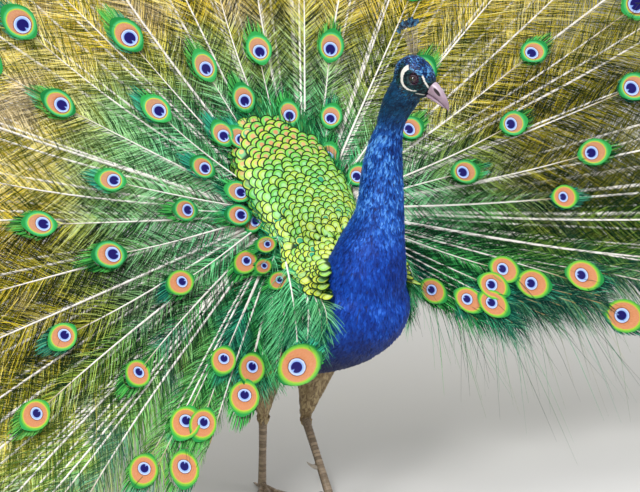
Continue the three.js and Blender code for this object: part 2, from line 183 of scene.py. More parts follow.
# ---------------- camera
VIEW_TURN = math.radians(-25)        # the camera stands to the bird's right of the fan's middle
VIEW_DROP = math.radians(14.8)
VIEW_FAR = 2.9
VIEW_HIGH = 1.205
VIEW_ASIDE = 0.0405
FRAME_WIDE, FRAME_HIGH = 640, 492
FOCAL_PIXELS = 1800.0
SENSOR_WIDE = 36.0        # mm
SIGHT_END = 50.0
VIEW_BACK = np.array([math.sin(VIEW_TURN), -math.cos(VIEW_TURN), 0.0])
VIEW_RIGHT = np.array([math.cos(VIEW_TURN), math.sin(VIEW_TURN), 0.0])
VIEW_DIR = -VIEW_BACK * math.cos(VIEW_DROP) - UP * math.sin(VIEW_DROP)
VIEW_UP = np.cross(VIEW_RIGHT, VIEW_DIR)
VIEW_FROM = SHIFT + VIEW_BACK * VIEW_FAR + VIEW_RIGHT * VIEW_ASIDE + UP * VIEW_HIGH


def link(name, data):
    """A new object in the scene."""
    made = bpy.data.objects.new(name, data)
    bpy.context.collection.objects.link(made)
    return made


def place_camera():
    """The camera, a little above the bird, before it and to its right."""
    camera = link("camera", bpy.data.cameras.new("camera"))
    camera.data.sensor_width = SENSOR_WIDE
    camera.data.lens = SENSOR_WIDE * FOCAL_PIXELS / FRAME_WIDE
    camera.data.clip_end = SIGHT_END
    turn = Matrix((VIEW_RIGHT, VIEW_UP, -VIEW_DIR)).transposed().to_4x4()
    camera.matrix_world = Matrix.Translation(VIEW_FROM) @ turn
    bpy.context.scene.camera = camera


def in_frame(points):
    """Where points fall in the frame, in pixels from its top left."""
    q = points - VIEW_FROM
    depth = q @ VIEW_DIR
    return (FRAME_WIDE / 2 + FOCAL_PIXELS * (q @ VIEW_RIGHT) / depth,
            FRAME_HIGH / 2 - FOCAL_PIXELS * (q @ VIEW_UP) / depth)


def sight_lines(x, y):
    """Directions from the camera through pixels."""
    return unit(VIEW_DIR * FOCAL_PIXELS + VIEW_RIGHT * (x - FRAME_WIDE / 2)[:, None]
                - VIEW_UP * (y - FRAME_HIGH / 2)[:, None])


def depths(tree, lines, beyond):
    """How far from the camera each line meets a surface, or beyond where it meets none."""
    return np.array([tree.ray_cast(Vector(VIEW_FROM), Vector(way))[3] or beyond for way in lines])


# ---------------- materials
class Value:
    """A number that varies over a surface. Sums on it add Math nodes."""

    def __init__(self, finish, socket):
        self.finish, self.socket = finish, socket

    def _sum(self, operation, *terms):
        return self.finish.node("ShaderNodeMath", {"operation": operation},
                                dict(enumerate(terms)), "Value")

    def __add__(self, other): return self._sum("ADD", self, other)
    def __radd__(self, other): return self._sum("ADD", other, self)
    def __sub__(self, other): return self._sum("SUBTRACT", self, other)
    def __rsub__(self, other): return self._sum("SUBTRACT", other, self)
    def __mul__(self, other): return self._sum("MULTIPLY", self, other)
    def __rmul__(self, other): return self._sum("MULTIPLY", other, self)
    def __truediv__(self, other): return self._sum("DIVIDE", self, other)
    def __rtruediv__(self, other): return self._sum("DIVIDE", other, self)
    def __pow__(self, other): return self._sum("POWER", self, other)
    def __abs__(self): return self._sum("ABSOLUTE", self)
    def sin(self): return self._sum("SINE", self)
    def root(self): return self._sum("SQRT", self)
    def most(self, other): return self._sum("MAXIMUM", self, other)

    def step(self, low, high, start=0.0, end=1.0):
        """Smoothly from start to end as this goes from low to high."""
        return self.finish.node("ShaderNodeMapRange", {"interpolation_type": "SMOOTHSTEP"},
                                {"Value": self, "From Min": low, "From Max": high,
                                 "To Min": start, "To Max": end}, "Result")


class Finish:
    """A material under the maker's name for it, and the nodes that feed it."""

    def __init__(self, name, roughness=0.5, metallic=0.0, coat=0.0, coat_roughness=0.2,
                 sheen=0.0, specular=0.5):
        self.material = bpy.data.materials.new(name)
        self.material.use_nodes = True
        self.tree = self.material.node_tree
        self.shader = next(n for n in self.tree.nodes if n.type == "BSDF_PRINCIPLED")
        for socket, number in (("Roughness", roughness), ("Metallic", metallic),
                               ("Coat Weight", coat), ("Coat Roughness", coat_roughness),
                               ("Sheen Weight", sheen), ("Specular IOR Level", specular)):
            self.shader.inputs[socket].default_value = number

    def plug(self, socket, value):
        """Feeds a socket with a value, a colour, a direction or a number."""
        if isinstance(value, Value):
            self.tree.links.new(value.socket, socket)
        elif hasattr(value, "__len__"):
            socket.default_value = (list(value) + [1.0])[:len(socket.default_value)]
        else:
            socket.default_value = value

    def node(self, kind, settings=None, inputs=None, output=0):
        """The output of a new node with these settings and inputs."""
        node = self.tree.nodes.new(kind)
        for key, value in (settings or {}).items():
            if key == "stops":
                ramp = node.color_ramp
                while len(ramp.elements) < len(value):
                    ramp.elements.new(0.5)
                for element, (place, colour) in zip(ramp.elements, value):
                    element.position, element.color = place, (*colour, 1.0)
            else:
                setattr(node, key, value)
        for key, value in (inputs or {}).items():
            self.plug(node.inputs[key], value)
        return Value(self, node.outputs[output])

    def set(self, socket, value):
        self.plug(self.shader.inputs[socket], value)

    # places to read from
    def place(self):
        return self.node("ShaderNodeTexCoord", output="Object")

    def map(self, name):
        return self.node("ShaderNodeUVMap", {"uv_map": name}, output="UV")

    def shade(self, name):
        return self.node("ShaderNodeAttribute", {"attribute_name": name}, output="Fac")

    def split(self, vector):
        first = self.node("ShaderNodeSeparateXYZ", {}, {0: vector})
        return [Value(self, output) for output in first.socket.node.outputs]

    def across_along(self):
        """Where a place lies across and along its feather, both from 0 to 1."""
        return self.split(self.map("vane"))[:2]

    def past(self, way, start):
        """How far a place lies along a direction, past a point."""
        return self.dot(self.place(), way) - float(start @ way)

    def gap(self, point):
        """How far a place lies from a point."""
        return self.node("ShaderNodeVectorMath", {"operation": "DISTANCE"},
                         {0: self.place(), 1: tuple(point)}, "Value")

    def dot(self, vector, other):
        return self.node("ShaderNodeVectorMath", {"operation": "DOT_PRODUCT"},
                         {0: vector, 1: tuple(other)}, "Value")

    def stretch(self, vector, scale):
        return self.node("ShaderNodeVectorMath", {"operation": "MULTIPLY"},
                         {0: vector, 1: tuple(scale)}, "Vector")

    def noise(self, vector, scale, detail):
        return self.node("ShaderNodeTexNoise", {}, {"Vector": vector, "Scale": scale,
                         "Detail": detail}, "Fac")

    def speckle(self, scale, detail=2.0):
        """Noise through the object's own space."""
        return self.noise(self.place(), scale, detail)

    def grain(self, across, along, scale, detail=2.0):
        """Noise drawn out as the barbs of a feather run."""
        return self.noise(self.stretch(self.map("vane"), (across, along, 1.0)), scale, detail)

    def ramp(self, value, stops):
        return self.node("ShaderNodeValToRGB", {"stops": stops}, {"Fac": value}, "Color")

    def mix(self, amount, one, other):
        """Colour one, turning to the other as amount goes from 0 to 1."""
        return self.node("ShaderNodeMix", {"data_type": "RGBA"}, {0: amount, 6: one, 7: other}, 2)

    def over(self, colour, *layers):
        """Colour with layers over it, each an amount and a colour."""
        for amount, other in layers:
            colour = self.mix(amount, colour, other)
        return colour

    def bump(self, height, strength, distance):
        self.set("Normal", self.node("ShaderNodeBump", {}, {"Strength": strength, "Distance": distance,
                                     "Height": height}, "Normal"))


# ---------------- making pieces
def write_shade(mesh, label, values):
    """A number for each corner of a mesh, that finishes can read."""
    layer = mesh.attributes.new(label, "FLOAT", "POINT")
    layer.data.foreach_set("value", values.astype(np.float32))


def settle(piece, replaces=()):
    """Says what a piece rides on and the solids that it replaces."""
    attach(piece, "root")
    if replaces:
        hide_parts(*replaces)
    return piece


def vanes(root, along, up, length, width, outline, lift=0.0, arch=0.0, sweep=0.0, columns=3):
    """Many thin vanes at once, as points (many, rows, columns, 3) and flat places on the vane.

    outline has rows of (place along, half width); lift is the rise of each row as a share of the
    length, arch the rise of the midrib as a share of the width, sweep the sideways curve.
    """
    count = len(root)
    along = unit(along)
    side = unit(np.cross(along, up))
    up = np.cross(side, along)
    # from here on the axes are vanes, rows and columns
    length, width, sweep = (np.broadcast_to(x, (count,))[:, None, None] for x in (length, width, sweep))
    t, w = np.array(outline).T[..., None]
    z = np.broadcast_to(lift, len(outline))[:, None]
    c = np.linspace(-1, 1, columns)
    points = root[:, None, None]
    for share, way in ((length * t * np.ones(columns), along),
                       (c * w * width + sweep * length * t ** 2, side),
                       (z * length + arch * width * (1 - c ** 2) * w, up)):
        points = points + share[..., None] * way[:, None, None]
    flat = np.empty(points.shape[:3] + (2,))
    flat[..., 0] = 0.5 + 0.5 * c * w
    flat[..., 1] = t
    return points, flat


QUILL_SIDES = 4


def stems(paths, radii, up):
    """Tapered quills along paths (many, rows, 3), closed round their section."""
    tangent = unit(np.gradient(paths, axis=1))
    side = unit(np.cross(tangent, up))
    over = np.cross(side, tangent)
    turn = (2 * np.pi * np.arange(QUILL_SIDES + 1) / QUILL_SIDES)[:, None]
    ring = np.cos(turn) * side[:, :, None] + np.sin(turn) * over[:, :, None]
    points = paths[:, :, None] + radii[..., None, None] * ring
    flat = np.empty(points.shape[:3] + (2,))
    flat[..., 0] = np.linspace(0, 1, QUILL_SIDES + 1)
    flat[..., 1] = np.linspace(0, 1, paths.shape[1])[:, None]
    return points, flat


class Planting:
    """Collects vanes and quills, and joins them into one piece."""

    def __init__(self):
        self.points, self.quads, self.flat, self.bake, self.tone, self.glow = [], [], [], [], [], []
        self.total = 0

    def add(self, made, home, patch=0.003, tone=0.5, glow=0.0):
        """home is each vane's place on the unwrap; patch is how large it lies there."""
        points, flat = made
        many, rows, columns = points.shape[:3]
        index = self.total + np.arange(many * rows * columns).reshape(many, rows, columns)
        self.quads.append(np.stack([index[:, :-1, :-1], index[:, :-1, 1:],
                                    index[:, 1:, 1:], index[:, 1:, :-1]], -1).reshape(-1, 4))
        self.total += index.size
        self.points.append(points.reshape(-1, 3))
        self.flat.append(flat.reshape(-1, 2))
        home = np.asarray(home, float).reshape(many, 1, 1, 2)
        self.bake.append((home + (flat - 0.5) * patch).reshape(-1, 2))
        for store, value in ((self.tone, tone), (self.glow, glow)):
            value = np.asarray(value, float)
            if value.ndim == 1:
                value = value[:, None, None]
            store.append(np.broadcast_to(value, (many, rows, columns)).reshape(-1))

    def piece(self, name, finish, slot, replaces=(), thickness=0.0):
        """All that was added, as one piece, with walls this thick where thickness isn't 0."""
        points, quads = np.concatenate(self.points), np.concatenate(self.quads)
        mesh = bpy.data.meshes.new(name)
        mesh.vertices.add(len(points))
        mesh.vertices.foreach_set("co", points.astype(np.float32).ravel())
        mesh.loops.add(quads.size)
        mesh.loops.foreach_set("vertex_index", quads.astype(np.int32).ravel())
        mesh.polygons.add(len(quads))
        mesh.polygons.foreach_set("loop_start", np.arange(0, quads.size, 4, dtype=np.int32))
        mesh.update(calc_edges=True)
        mesh.polygons.foreach_set("use_smooth", np.ones(len(quads), bool))
        corner = quads.ravel()
        for label, values in (("vane", self.flat), ("OFBake", self.bake)):
            layer = mesh.uv_layers.new(name=label)
            layer.data.foreach_set("uv", np.concatenate(values)[corner].astype(np.float32).ravel())
        for label, values in (("tone", self.tone), ("glow", self.glow)):
            write_shade(mesh, label, np.concatenate(values))
        mesh.materials.append(finish.material)
        piece = link(name, mesh)
        if thickness:
            wall = piece.modifiers.new("wall", "SOLIDIFY")
            wall.thickness, wall.offset = thickness, 0.0
        return settle(piece, replaces)


def atlas(count):
    """Places for large patches side by side on the unwrap, and their size."""
    across = math.ceil(math.sqrt(count))
    n = np.arange(count)
    return (np.stack([n % across, n // across], -1) + 0.5) / across, 0.9 / across


def large_vanes(made, name, finish, slot, replaces=(), tone=0.5, glow=0.0, thickness=0.0):
    """A piece of large vanes or quills, each with a patch of its own on the unwrap."""
    planting = Planting()
    planting.add(made, *atlas(len(made[0])), tone, glow)
    return planting.piece(name, finish, slot, replaces, thickness)


def solid_piece(maker, name, finish, replaces=(), levels=0):
    """A piece from a bmesh that maker fills, shaded smooth and rounded by this many levels."""
    shape = bmesh.new()
    maker(shape)
    bmesh.ops.remove_doubles(shape, verts=shape.verts, dist=1e-6)
    bmesh.ops.recalc_face_normals(shape, faces=shape.faces)
    for face in shape.faces:
        face.smooth = True
    mesh = bpy.data.meshes.new(name)
    shape.to_mesh(mesh)
    shape.free()
    mesh.materials.append(finish.material)
    piece = link(name, mesh)
    if levels:
        soft = piece.modifiers.new("soft", "SUBSURF")
        soft.levels = soft.render_levels = levels
    return settle(piece, replaces)


def loft(shape, rings):
    """Joins rings of points, one after another, and closes both ends."""
    loops = []
    for ring in rings:
        verts = [shape.verts.new(p) for p in ring]
        edges = [shape.edges.new((a, b)) for a, b in zip(verts, verts[1:] + verts[:1])]
        loops.append((verts, edges))
    for (_, one), (_, two) in zip(loops, loops[1:]):
        bmesh.ops.bridge_loops(shape, edges=one + two)
    for verts, edges in (loops[0], loops[-1]):
        middle = shape.verts.new(sum((v.co for v in verts), Vector()) / len(verts))
        for e in edges:
            shape.faces.new((e.verts[0], e.verts[1], middle))


# ---------------- finishes
# a crescent of white skin round the eye: its centre and reach in the head's own directions, and the
# way that it opens; and a white stripe over the lores: a point on it and its slope
CRESCENT = (0.0075, 0.0062, 0.0182)
CRESCENT_WAY = (-0.643, -0.766)
STRIPE = (0.016, 0.0192, -0.77)
BACK_START, BACK_END = 0.02, -0.05        # the breast's blue turns brown between these, from the hub
THROAT_LOW, THROAT_HIGH = 0.655, 0.715    # heights between which the neck's blue turns to the throat's


def bare_lines(along, above):
    """Offsets from the crescent's centre, along its opening, and from the stripe's middle line."""
    ahead, over = along - CRESCENT[0], above - CRESCENT[1]
    return (ahead, over, ahead * CRESCENT_WAY[0] + over * CRESCENT_WAY[1],
            above - (along - STRIPE[0]) * STRIPE[2] - STRIPE[1])


def blue_finish(name):
    """Royal blue neck feathers, with lighter glossy tips, dark roots that are partly painted shade, broad
    patches of painted light and shade and painted shade low on the breast.
    """
    f = Finish(name, roughness=0.42, metallic=0.1, coat=0.05, coat_roughness=0.35, specular=0.15)
    z = f.split(f.place())[2]
    v = f.across_along()[1]
    streak = f.grain(9.0, 1.2, 3.0, 1.0)
    streaks = f.noise(f.stretch(f.place(), (1.0, 1.0, 0.30)), 260.0, 2.0)
    # broad patches from the coarse speckle are painted light and shade; the finer speckles, streaks and tone
    # are the feathers' own, and the contrast is stronger up the neck, where the lighter patches are painted
    # highlights
    light = f.shade("tone") * 0.14 + f.speckle(70.0, 3.0) * 0.24 + f.speckle(13.0) * 0.34 + streaks * 0.28
    light = ((light - 0.5) * z.step(0.44, 0.60, 0.62, 1.30) + 0.5).step(0.34, 0.67)
    low = f.ramp(light, [(0.0, (0.001, 0.008, 0.09)), (0.35, (0.003, 0.032, 0.28)),
                         (0.7, (0.008, 0.080, 0.52)), (1.0, (0.060, 0.24, 0.90))])
    high = f.ramp(light, [(0.0, (0.001, 0.012, 0.10)), (0.35, (0.005, 0.060, 0.32)),
                          (0.7, (0.025, 0.155, 0.62)), (1.0, (0.14, 0.42, 0.90))])
    rear = f.past(FORE, SHIFT).step(BACK_START, BACK_END)
    throat = z.step(THROAT_LOW, THROAT_HIGH)
    # lighter on the upper neck; the nearly black navy low on the breast is painted shade under it
    colour = f.over(low, (z.step(0.46, 0.60), high), (z.step(0.39, 0.27), (0.001, 0.004, 0.045)),
                    (rear, f.mix(light, (0.012, 0.009, 0.008), (0.075, 0.055, 0.040))),
                    (throat, f.mix(light, (0.002, 0.014, 0.045), (0.005, 0.065, 0.16))))
    # darker towards each feather's root: partly the feathers' own dark bases, partly painted shade in the
    # gaps between them
    colour = f.mix(v.step(0.10, 0.70) * 0.55 + 0.45, (0.001, 0.003, 0.035), colour)
    f.set("Base Color", f.mix(streak.step(0.45, 0.8) * 0.30 * (1.0 - rear), colour,
                              f.mix(throat, (0.03, 0.16, 0.80), (0.02, 0.16, 0.30))))
    f.set("Roughness", streak * 0.25 + 0.30)
    f.bump(streak, 0.5, 0.0006)
    return f


def head_masks(f):
    """How far a place lies along the head, above its middle and to either side."""
    return f.past(HEAD_AXIS, SKULL), f.past(HEAD_UP, SKULL), abs(f.past(HEAD_LEFT, SKULL))


def bare_patches(f):
    """White bare skin: a crescent behind and under the eye, a stripe above the lores, the gape."""
    along, above, beside = head_masks(f)
    wobble = f.speckle(240.0) * 0.0020 - 0.0010
    ahead, over, opening, slope = bare_lines(along, above)
    off = (ahead * ahead + over * over).root() + wobble
    wide = (over * 0.55 - ahead * 0.85) * 0.080 + 0.0021
    crescent = (abs(off - CRESCENT[2]) - wide).step(0.0004, -0.0004) * opening.step(0.0000, 0.0030)
    stripe = abs(slope + wobble * 0.5).step(0.0018, 0.0012) \
        * along.step(0.0165, 0.0180) * along.step(0.0350, 0.0340)
    gape = abs(above - (along - 0.0205) * 0.40 + 0.0118).step(0.0011, 0.0006) \
        * along.step(0.0195, 0.0215) * along.step(0.0360, 0.0340) * 0.7
    return crescent.most(stripe).most(gape) * beside.step(0.006, 0.009)


def face_finish(name):
    """Blue-green crown, green-black face, teal throat and the white bare skin."""
    f = Finish(name, roughness=0.36, metallic=0.2, coat=0.1, coat_roughness=0.3, specular=0.2)
    along, above, beside = head_masks(f)
    fine = f.speckle(560.0)
    light = (f.shade("tone") * 0.45 + fine * 0.55).step(0.28, 0.78)
    crown = f.ramp(light, [(0.0, (0.001, 0.005, 0.035)), (0.45, (0.002, 0.020, 0.11)),
                           (0.75, (0.008, 0.085, 0.32)), (1.0, (0.14, 0.42, 0.76))])
    face = f.ramp(light, [(0.0, (0.001, 0.005, 0.009)), (0.6, (0.003, 0.018, 0.026)),
                          (1.0, (0.010, 0.075, 0.080))])
    throat = f.ramp(light, [(0.0, (0.002, 0.012, 0.035)), (0.6, (0.004, 0.042, 0.11)),
                            (1.0, (0.012, 0.14, 0.28))])
    colour = f.mix(above.step(-0.012, -0.022), face, throat)
    nape = (along + above * 0.2).step(-0.017, -0.026)
    colour = f.mix(above.step(0.012, 0.022).most(nape), colour, crown)
    round_eye = ((along - EYE_AT[0] - 0.0008) ** 2 + (above - EYE_AT[1]) ** 2).root()
    colour = f.mix(round_eye.step(0.0100, 0.0078) * beside.step(0.006, 0.009), colour,
                   f.mix(fine.step(0.45, 0.65), (0.010, 0.003, 0.010), (0.10, 0.035, 0.075)))
    bare = bare_patches(f)
    f.set("Base Color", f.mix(bare, colour, (0.78, 0.76, 0.70)))
    f.set("Metallic", 0.2 - bare * 0.2)
    f.set("Roughness", bare * 0.2 + 0.34)
    f.bump(fine, 0.3, 0.0005)
    return f


def scale_finish():
    """Gold-green mantle scales: dark rim that is partly painted shadow under their edges, yellow-green web,
    bronze heart near the top.
    """
    f = Finish("mantle scale feathers", roughness=0.40, metallic=0.15, coat=0.08, coat_roughness=0.3,
               specular=0.2)
    u, v = f.across_along()
    tone, high = f.shade("tone"), f.shade("glow")
    x, y = (u - 0.5) * 2.0, (v - 0.62) / 0.38
    off = (x * x + y.most(0.0) ** 2).root()
    ray = f.grain(26.0, 5.0, 2.0)
    low = f.split(f.place())[2].step(0.55, 0.36) * 0.22
    gold = (tone * 0.20 + f.speckle(16.0) * 0.48 + f.speckle(45.0) * 0.32 + low).step(0.32, 0.76)
    web = f.mix(gold, (0.13, 0.55, 0.12), (0.52, 0.64, 0.07))
    pale = f.mix(gold, (0.30, 0.72, 0.30), (0.70, 0.84, 0.26))
    heart_off = (x * x * 1.2 + ((v - 0.66) * 2.6) ** 2).root()
    heart = f.mix(tone, (0.62, 0.26, 0.12), (0.78, 0.48, 0.20))
    edge = f.mix(gold, (0.20, 0.66, 0.06), (0.82, 0.84, 0.06))
    # about one scale in twelve is blue-green; the near-black rim is partly the scales' dark fringe and
    # partly painted shadow under their edges
    f.set("Base Color", f.over(
        pale, (off.step(0.20, 0.60), web), ((tone * 3.0 - 2.75).step(0.0, 0.25), (0.04, 0.38, 0.20)),
        (heart_off.step(0.46, 0.26) * high.step(0.30, 0.80), heart), (off.step(0.52, 0.66) * 0.7, edge),
        (off.step(0.74, 0.82), (0.003, 0.035, 0.005)), (v.step(0.42, 0.22), (0.004, 0.03, 0.006)),
        (ray.step(0.45, 0.8) * 0.25, (0.02, 0.20, 0.02))))
    f.set("Roughness", ray * 0.3 + 0.28)
    f.bump(ray, 0.4, 0.0005)
    return f


EYE_LONG = 1.34       # length of an eyespot over its width


def eyespot_finish():
    """Navy heart, pale blue ring, bronze ring, thin gold rim and an emerald outer ring."""
    f = Finish("train eyespots", roughness=0.42, specular=0.12, coat=0.04, coat_roughness=0.3)
    u, v = f.across_along()
    # low is 1 on the lowest feathers, whose rings are smaller and nearer the middle
    tone, low = f.shade("tone"), f.shade("glow")
    x, y = (u - 0.5) * 2.0, (v - 0.5) * 2.0 * EYE_LONG
    ray = f.grain(46.0, 9.0, 1.6)
    rough = (ray - 0.5) * 0.09
    bronze_off = (x * x + ((y + 0.05) * 0.86) ** 2).root() + rough * 0.7 - low * 0.07
    ring_off = (x * x + (y + 0.27 - low * 0.09) ** 2).root() + rough * 0.5 - 0.02 + low * 0.10
    heart_off = (x * x * 1.1 + (y + 0.30 - low * 0.09) ** 2).root() + rough * 0.3 - 0.02 + low * 0.09
    notch = (abs(x) * 2.0 + y + 0.53 - low * 0.13).step(0.0, 0.09)
    emerald = f.mix(tone, (0.004, 0.17, 0.035), (0.03, 0.36, 0.07))
    inner_green = f.mix(low, (0.08, 0.48, 0.16), (0.16, 0.50, 0.05))
    gold = f.mix(tone, (0.36, 0.50, 0.04), (0.56, 0.54, 0.05))
    bronze = f.mix(ring_off.step(0.48, 0.80), (0.36, 0.11, 0.035), (0.52, 0.215, 0.105))
    bronze = f.mix(low, f.mix(tone, bronze, (0.42, 0.22, 0.12)), f.mix(0.5, bronze, (0.60, 0.21, 0.075)))
    bronze = f.mix(ray.step(0.30, 0.75) * 0.45, bronze, (0.80, 0.42, 0.22))
    pale = f.mix(ring_off.step(0.34, 0.51), (0.22, 0.36, 0.80), (0.54, 0.64, 0.93))
    f.set("Base Color", f.over(
        emerald, (bronze_off.step(0.96, 0.80), inner_green), (bronze_off.step(0.785, 0.76), gold),
        (bronze_off.step(0.72, 0.695), bronze), (ring_off.step(0.560, 0.535), (0.13, 0.035, 0.02)),
        (ring_off.step(0.520, 0.495), pale), (heart_off.step(0.375, 0.345) * notch, (0.007, 0.004, 0.11)),
        (ray.step(0.5, 0.9) * 0.22, (0.01, 0.03, 0.01))))
    f.bump(ray, 0.35, 0.0006)
    return f


def barb_finish():
    """Loose train barbs: teal-green near the hub, gold and bronze further out, with painted light and shade
    over the fan.
    """
    f = Finish("train barbs", roughness=0.5, metallic=0.1, specular=0.08)
    tone, glow = f.shade("tone"), f.shade("glow")
    x, _, z = f.split(f.place())
    spots = f.speckle(11.0)
    # painted light and shade over the fan: lighter on its -x side away from the hub's height, darker on its
    # +x side at low and middle heights and near the floor, a little lighter high on the +x side
    tone = tone + x.step(-0.10, -0.25) * abs(z - 0.42).step(0.05, 0.18, -0.14, 0.22) \
        - x.step(0.10, 0.22) * z.step(0.50, 0.42) * 0.22 \
        - x.step(0.36, 0.50) * z.step(0.72, 0.64) * z.step(0.42, 0.50) * 0.28 \
        + x.step(0.20, 0.35) * z.step(0.66, 0.76) * 0.10 - z.step(0.20, 0.10) * 0.14
    green = f.ramp(tone, [(0.0, (0.001, 0.014, 0.006)), (0.35, (0.004, 0.10, 0.040)),
                          (0.70, (0.016, 0.36, 0.12)), (1.0, (0.22, 0.80, 0.38))])
    gold = f.ramp(tone, [(0.0, (0.008, 0.014, 0.002)), (0.30, (0.06, 0.085, 0.006)),
                         (0.52, (0.48, 0.40, 0.016)), (0.76, (1.0, 0.76, 0.045)), (1.0, (1.0, 0.87, 0.32))])
    olive = f.mix(tone, (0.006, 0.020, 0.003), (0.22, 0.24, 0.02))
    rosy = f.mix(tone, (0.03, 0.015, 0.012), (0.86, 0.66, 0.52))
    # painted shade: the gold turns olive towards the +x side and low down; olive also comes in random spots
    painted_shade = (x * 1.1 + (0.78 - z)).step(0.35, 0.95) * 0.65
    painted_shade = painted_shade.most(((0.62 - z) * 1.6 - x * 0.8).step(0.45, 0.90)
                     * ((0.25 - z) * 3.0 + 1.0).step(1.0, 0.3) * 0.6)
    outer = f.mix(painted_shade.most(spots.step(0.52, 0.68) * 0.45), gold, olive)
    outer = f.mix(f.speckle(7.0).step(0.54, 0.64) * x.step(0.25, 0.05) * 0.5, outer, rosy)
    far = (f.gap(HUB) + (f.speckle(4.0) - 0.5) * 0.40 + (z - 0.45) * 0.28).step(0.18, 0.56)
    colour = f.mix(far, green, outer)
    # barbs round the eyespots and low ones: emerald, teal in random spots, and teal low on the +x side that
    # is painted sheen
    strong = tone.step(0.05, 0.95)
    emerald = f.mix(strong, (0.001, 0.060, 0.014), (0.08, 0.56, 0.10))
    teal = f.mix(strong, (0.001, 0.055, 0.050), (0.03, 0.46, 0.36))
    teal_and_painted_sheen = (spots.step(0.50, 0.62) * 0.8).most(x.step(0.24, 0.34) * z.step(0.40, 0.34) * 0.8)
    f.set("Base Color", f.mix(glow, colour, f.mix(teal_and_painted_sheen, emerald, teal)))
    return f


def quill_finish():
    """Ivory shafts that darken towards the tip."""
    f = Finish("train quills", roughness=0.45, coat=0.1, specular=0.3)
    fine = f.speckle(90.0)
    pale = f.mix(fine, (0.80, 0.73, 0.66), (1.0, 0.97, 0.93))
    f.set("Base Color", f.mix(f.across_along()[1].step(0.75, 1.0), pale, (0.34, 0.24, 0.08)))
    f.bump(fine, 0.2, 0.0005)
    return f


def wing_finish(name, chestnut):
    """Buff feathers with broken dark bars, or plain chestnut ones."""
    f = Finish(name, roughness=0.6, specular=0.12)
    u, v = f.across_along()
    tone, green = f.shade("tone"), f.shade("glow")
    streak = f.grain(30.0, 3.0, 2.0)
    if chestnut:
        base = f.mix(tone, (0.30, 0.085, 0.02), (0.52, 0.19, 0.05))
        base = f.mix(v.step(0.75, 1.0), base, (0.20, 0.07, 0.03))
    else:
        wave = f.speckle(70.0)
        bars = ((v * 26.0 + abs(u - 0.5) * 9.0 + wave * 6.0 + tone * 5.0).sin()).step(-0.1, 0.35)
        base = f.mix(bars, (0.62, 0.46, 0.27), (0.035, 0.025, 0.02))
    f.set("Base Color", f.over(
        base, (abs(u - 0.5).step(0.03, 0.012), (0.10, 0.06, 0.03)),
        (streak.step(0.4, 0.8) * 0.3, (0.75, 0.55, 0.35)),
        (green * 0.95, f.mix(tone, (0.002, 0.045, 0.012), (0.012, 0.16, 0.045)))))
    f.bump(streak, 0.4, 0.0006)
    return f


def plain_feather_finish(name, dark, light, metallic=0.0, start=0.30):
    """Feathers mottled between two colours, and darker at their roots."""
    f = Finish(name, roughness=0.6, metallic=metallic, sheen=0.1)
    streak = f.grain(24.0, 3.0, 2.0)
    mottle = f.speckle(120.0, 3.0)
    colour = f.mix((f.shade("tone") * 0.5 + mottle * 0.5).step(start, 0.75), dark, light)
    root = f.across_along()[1].step(0.35, 0.0) * 0.6
    f.set("Base Color", f.mix(root, colour, tuple(0.35 * c for c in dark)))
    f.set("Roughness", streak * 0.3 + 0.45)
    f.bump(streak, 0.4, 0.0006)
    return f


def horn_finish(name, base, tip):
    """Claws and spurs."""
    f = Finish(name, roughness=0.35, coat=0.3, coat_roughness=0.25)
    fine = f.speckle(140.0, 3.0)
    f.set("Base Color", f.mix(fine * 0.35, f.mix(fine, base, tip), tuple(1.5 * c for c in base)))
    f.bump(fine, 0.15, 0.0004)
    return f


def scute_finish():
    """Horny plates of the legs, dark along their edges."""
    f = Finish("horny scutes", roughness=0.45, coat=0.2, coat_roughness=0.3)
    v = f.across_along()[1]
    fine = f.speckle(220.0, 3.0)
    light = (f.shade("tone") * 0.4 + fine * 0.6).step(0.3, 0.75)
    colour = f.mix(light, (0.21, 0.150, 0.095), (0.42, 0.315, 0.215))
    edge = v.step(0.88, 1.0).most(v.step(0.20, 0.0)) * 0.75
    f.set("Base Color", f.mix(edge, colour, (0.13, 0.09, 0.06)))
    f.bump(fine, 0.4, 0.0004)
    return f


def skin_finish():
    """Down and skin under the feathers, one colour flowing into the next."""
    f = Finish("skin and down", roughness=0.55)
    fine = f.speckle(320.0, 3.0)
    colour = f.mix(fine, (0.002, 0.008, 0.08), (0.010, 0.05, 0.32))
    rear = f.past(FORE, SHIFT).step(BACK_START, BACK_END)
    colour = f.mix(rear, colour, f.mix(fine, (0.010, 0.008, 0.007), (0.05, 0.04, 0.03)))
    colour = f.mix(f.shade("face").step(0.3, 0.7), colour,
                   f.mix(fine, (0.002, 0.008, 0.012), (0.01, 0.06, 0.07)))
    colour = f.mix(bare_patches(f), colour, (0.80, 0.78, 0.72))
    for region, dark, light in (("shield", (0.02, 0.12, 0.02), (0.12, 0.36, 0.05)),
                                ("down", (0.05, 0.04, 0.03), (0.20, 0.17, 0.14)),
                                ("thigh", (0.16, 0.10, 0.06), (0.42, 0.31, 0.20))):
        colour = f.mix(f.shade(region).step(0.3, 0.7), colour, f.mix(fine, dark, light))
    cells = f.node("ShaderNodeTexVoronoi", {"feature": "DISTANCE_TO_EDGE"},
                   {"Vector": f.place(), "Scale": 330.0}, "Distance")
    scaly = f.mix(f.speckle(30.0) * 0.5 + fine * 0.5, (0.18, 0.13, 0.085), (0.42, 0.32, 0.215))
    scaly = f.mix(cells.step(0.12, 0.0), scaly, (0.10, 0.07, 0.045))
    horn = f.shade("horn")
    f.set("Base Color", f.mix(horn.step(0.35, 0.65), colour, scaly))
    f.bump(fine * 0.5 + cells.step(0.0, 0.15) * horn, 0.5, 0.0006)
    return f


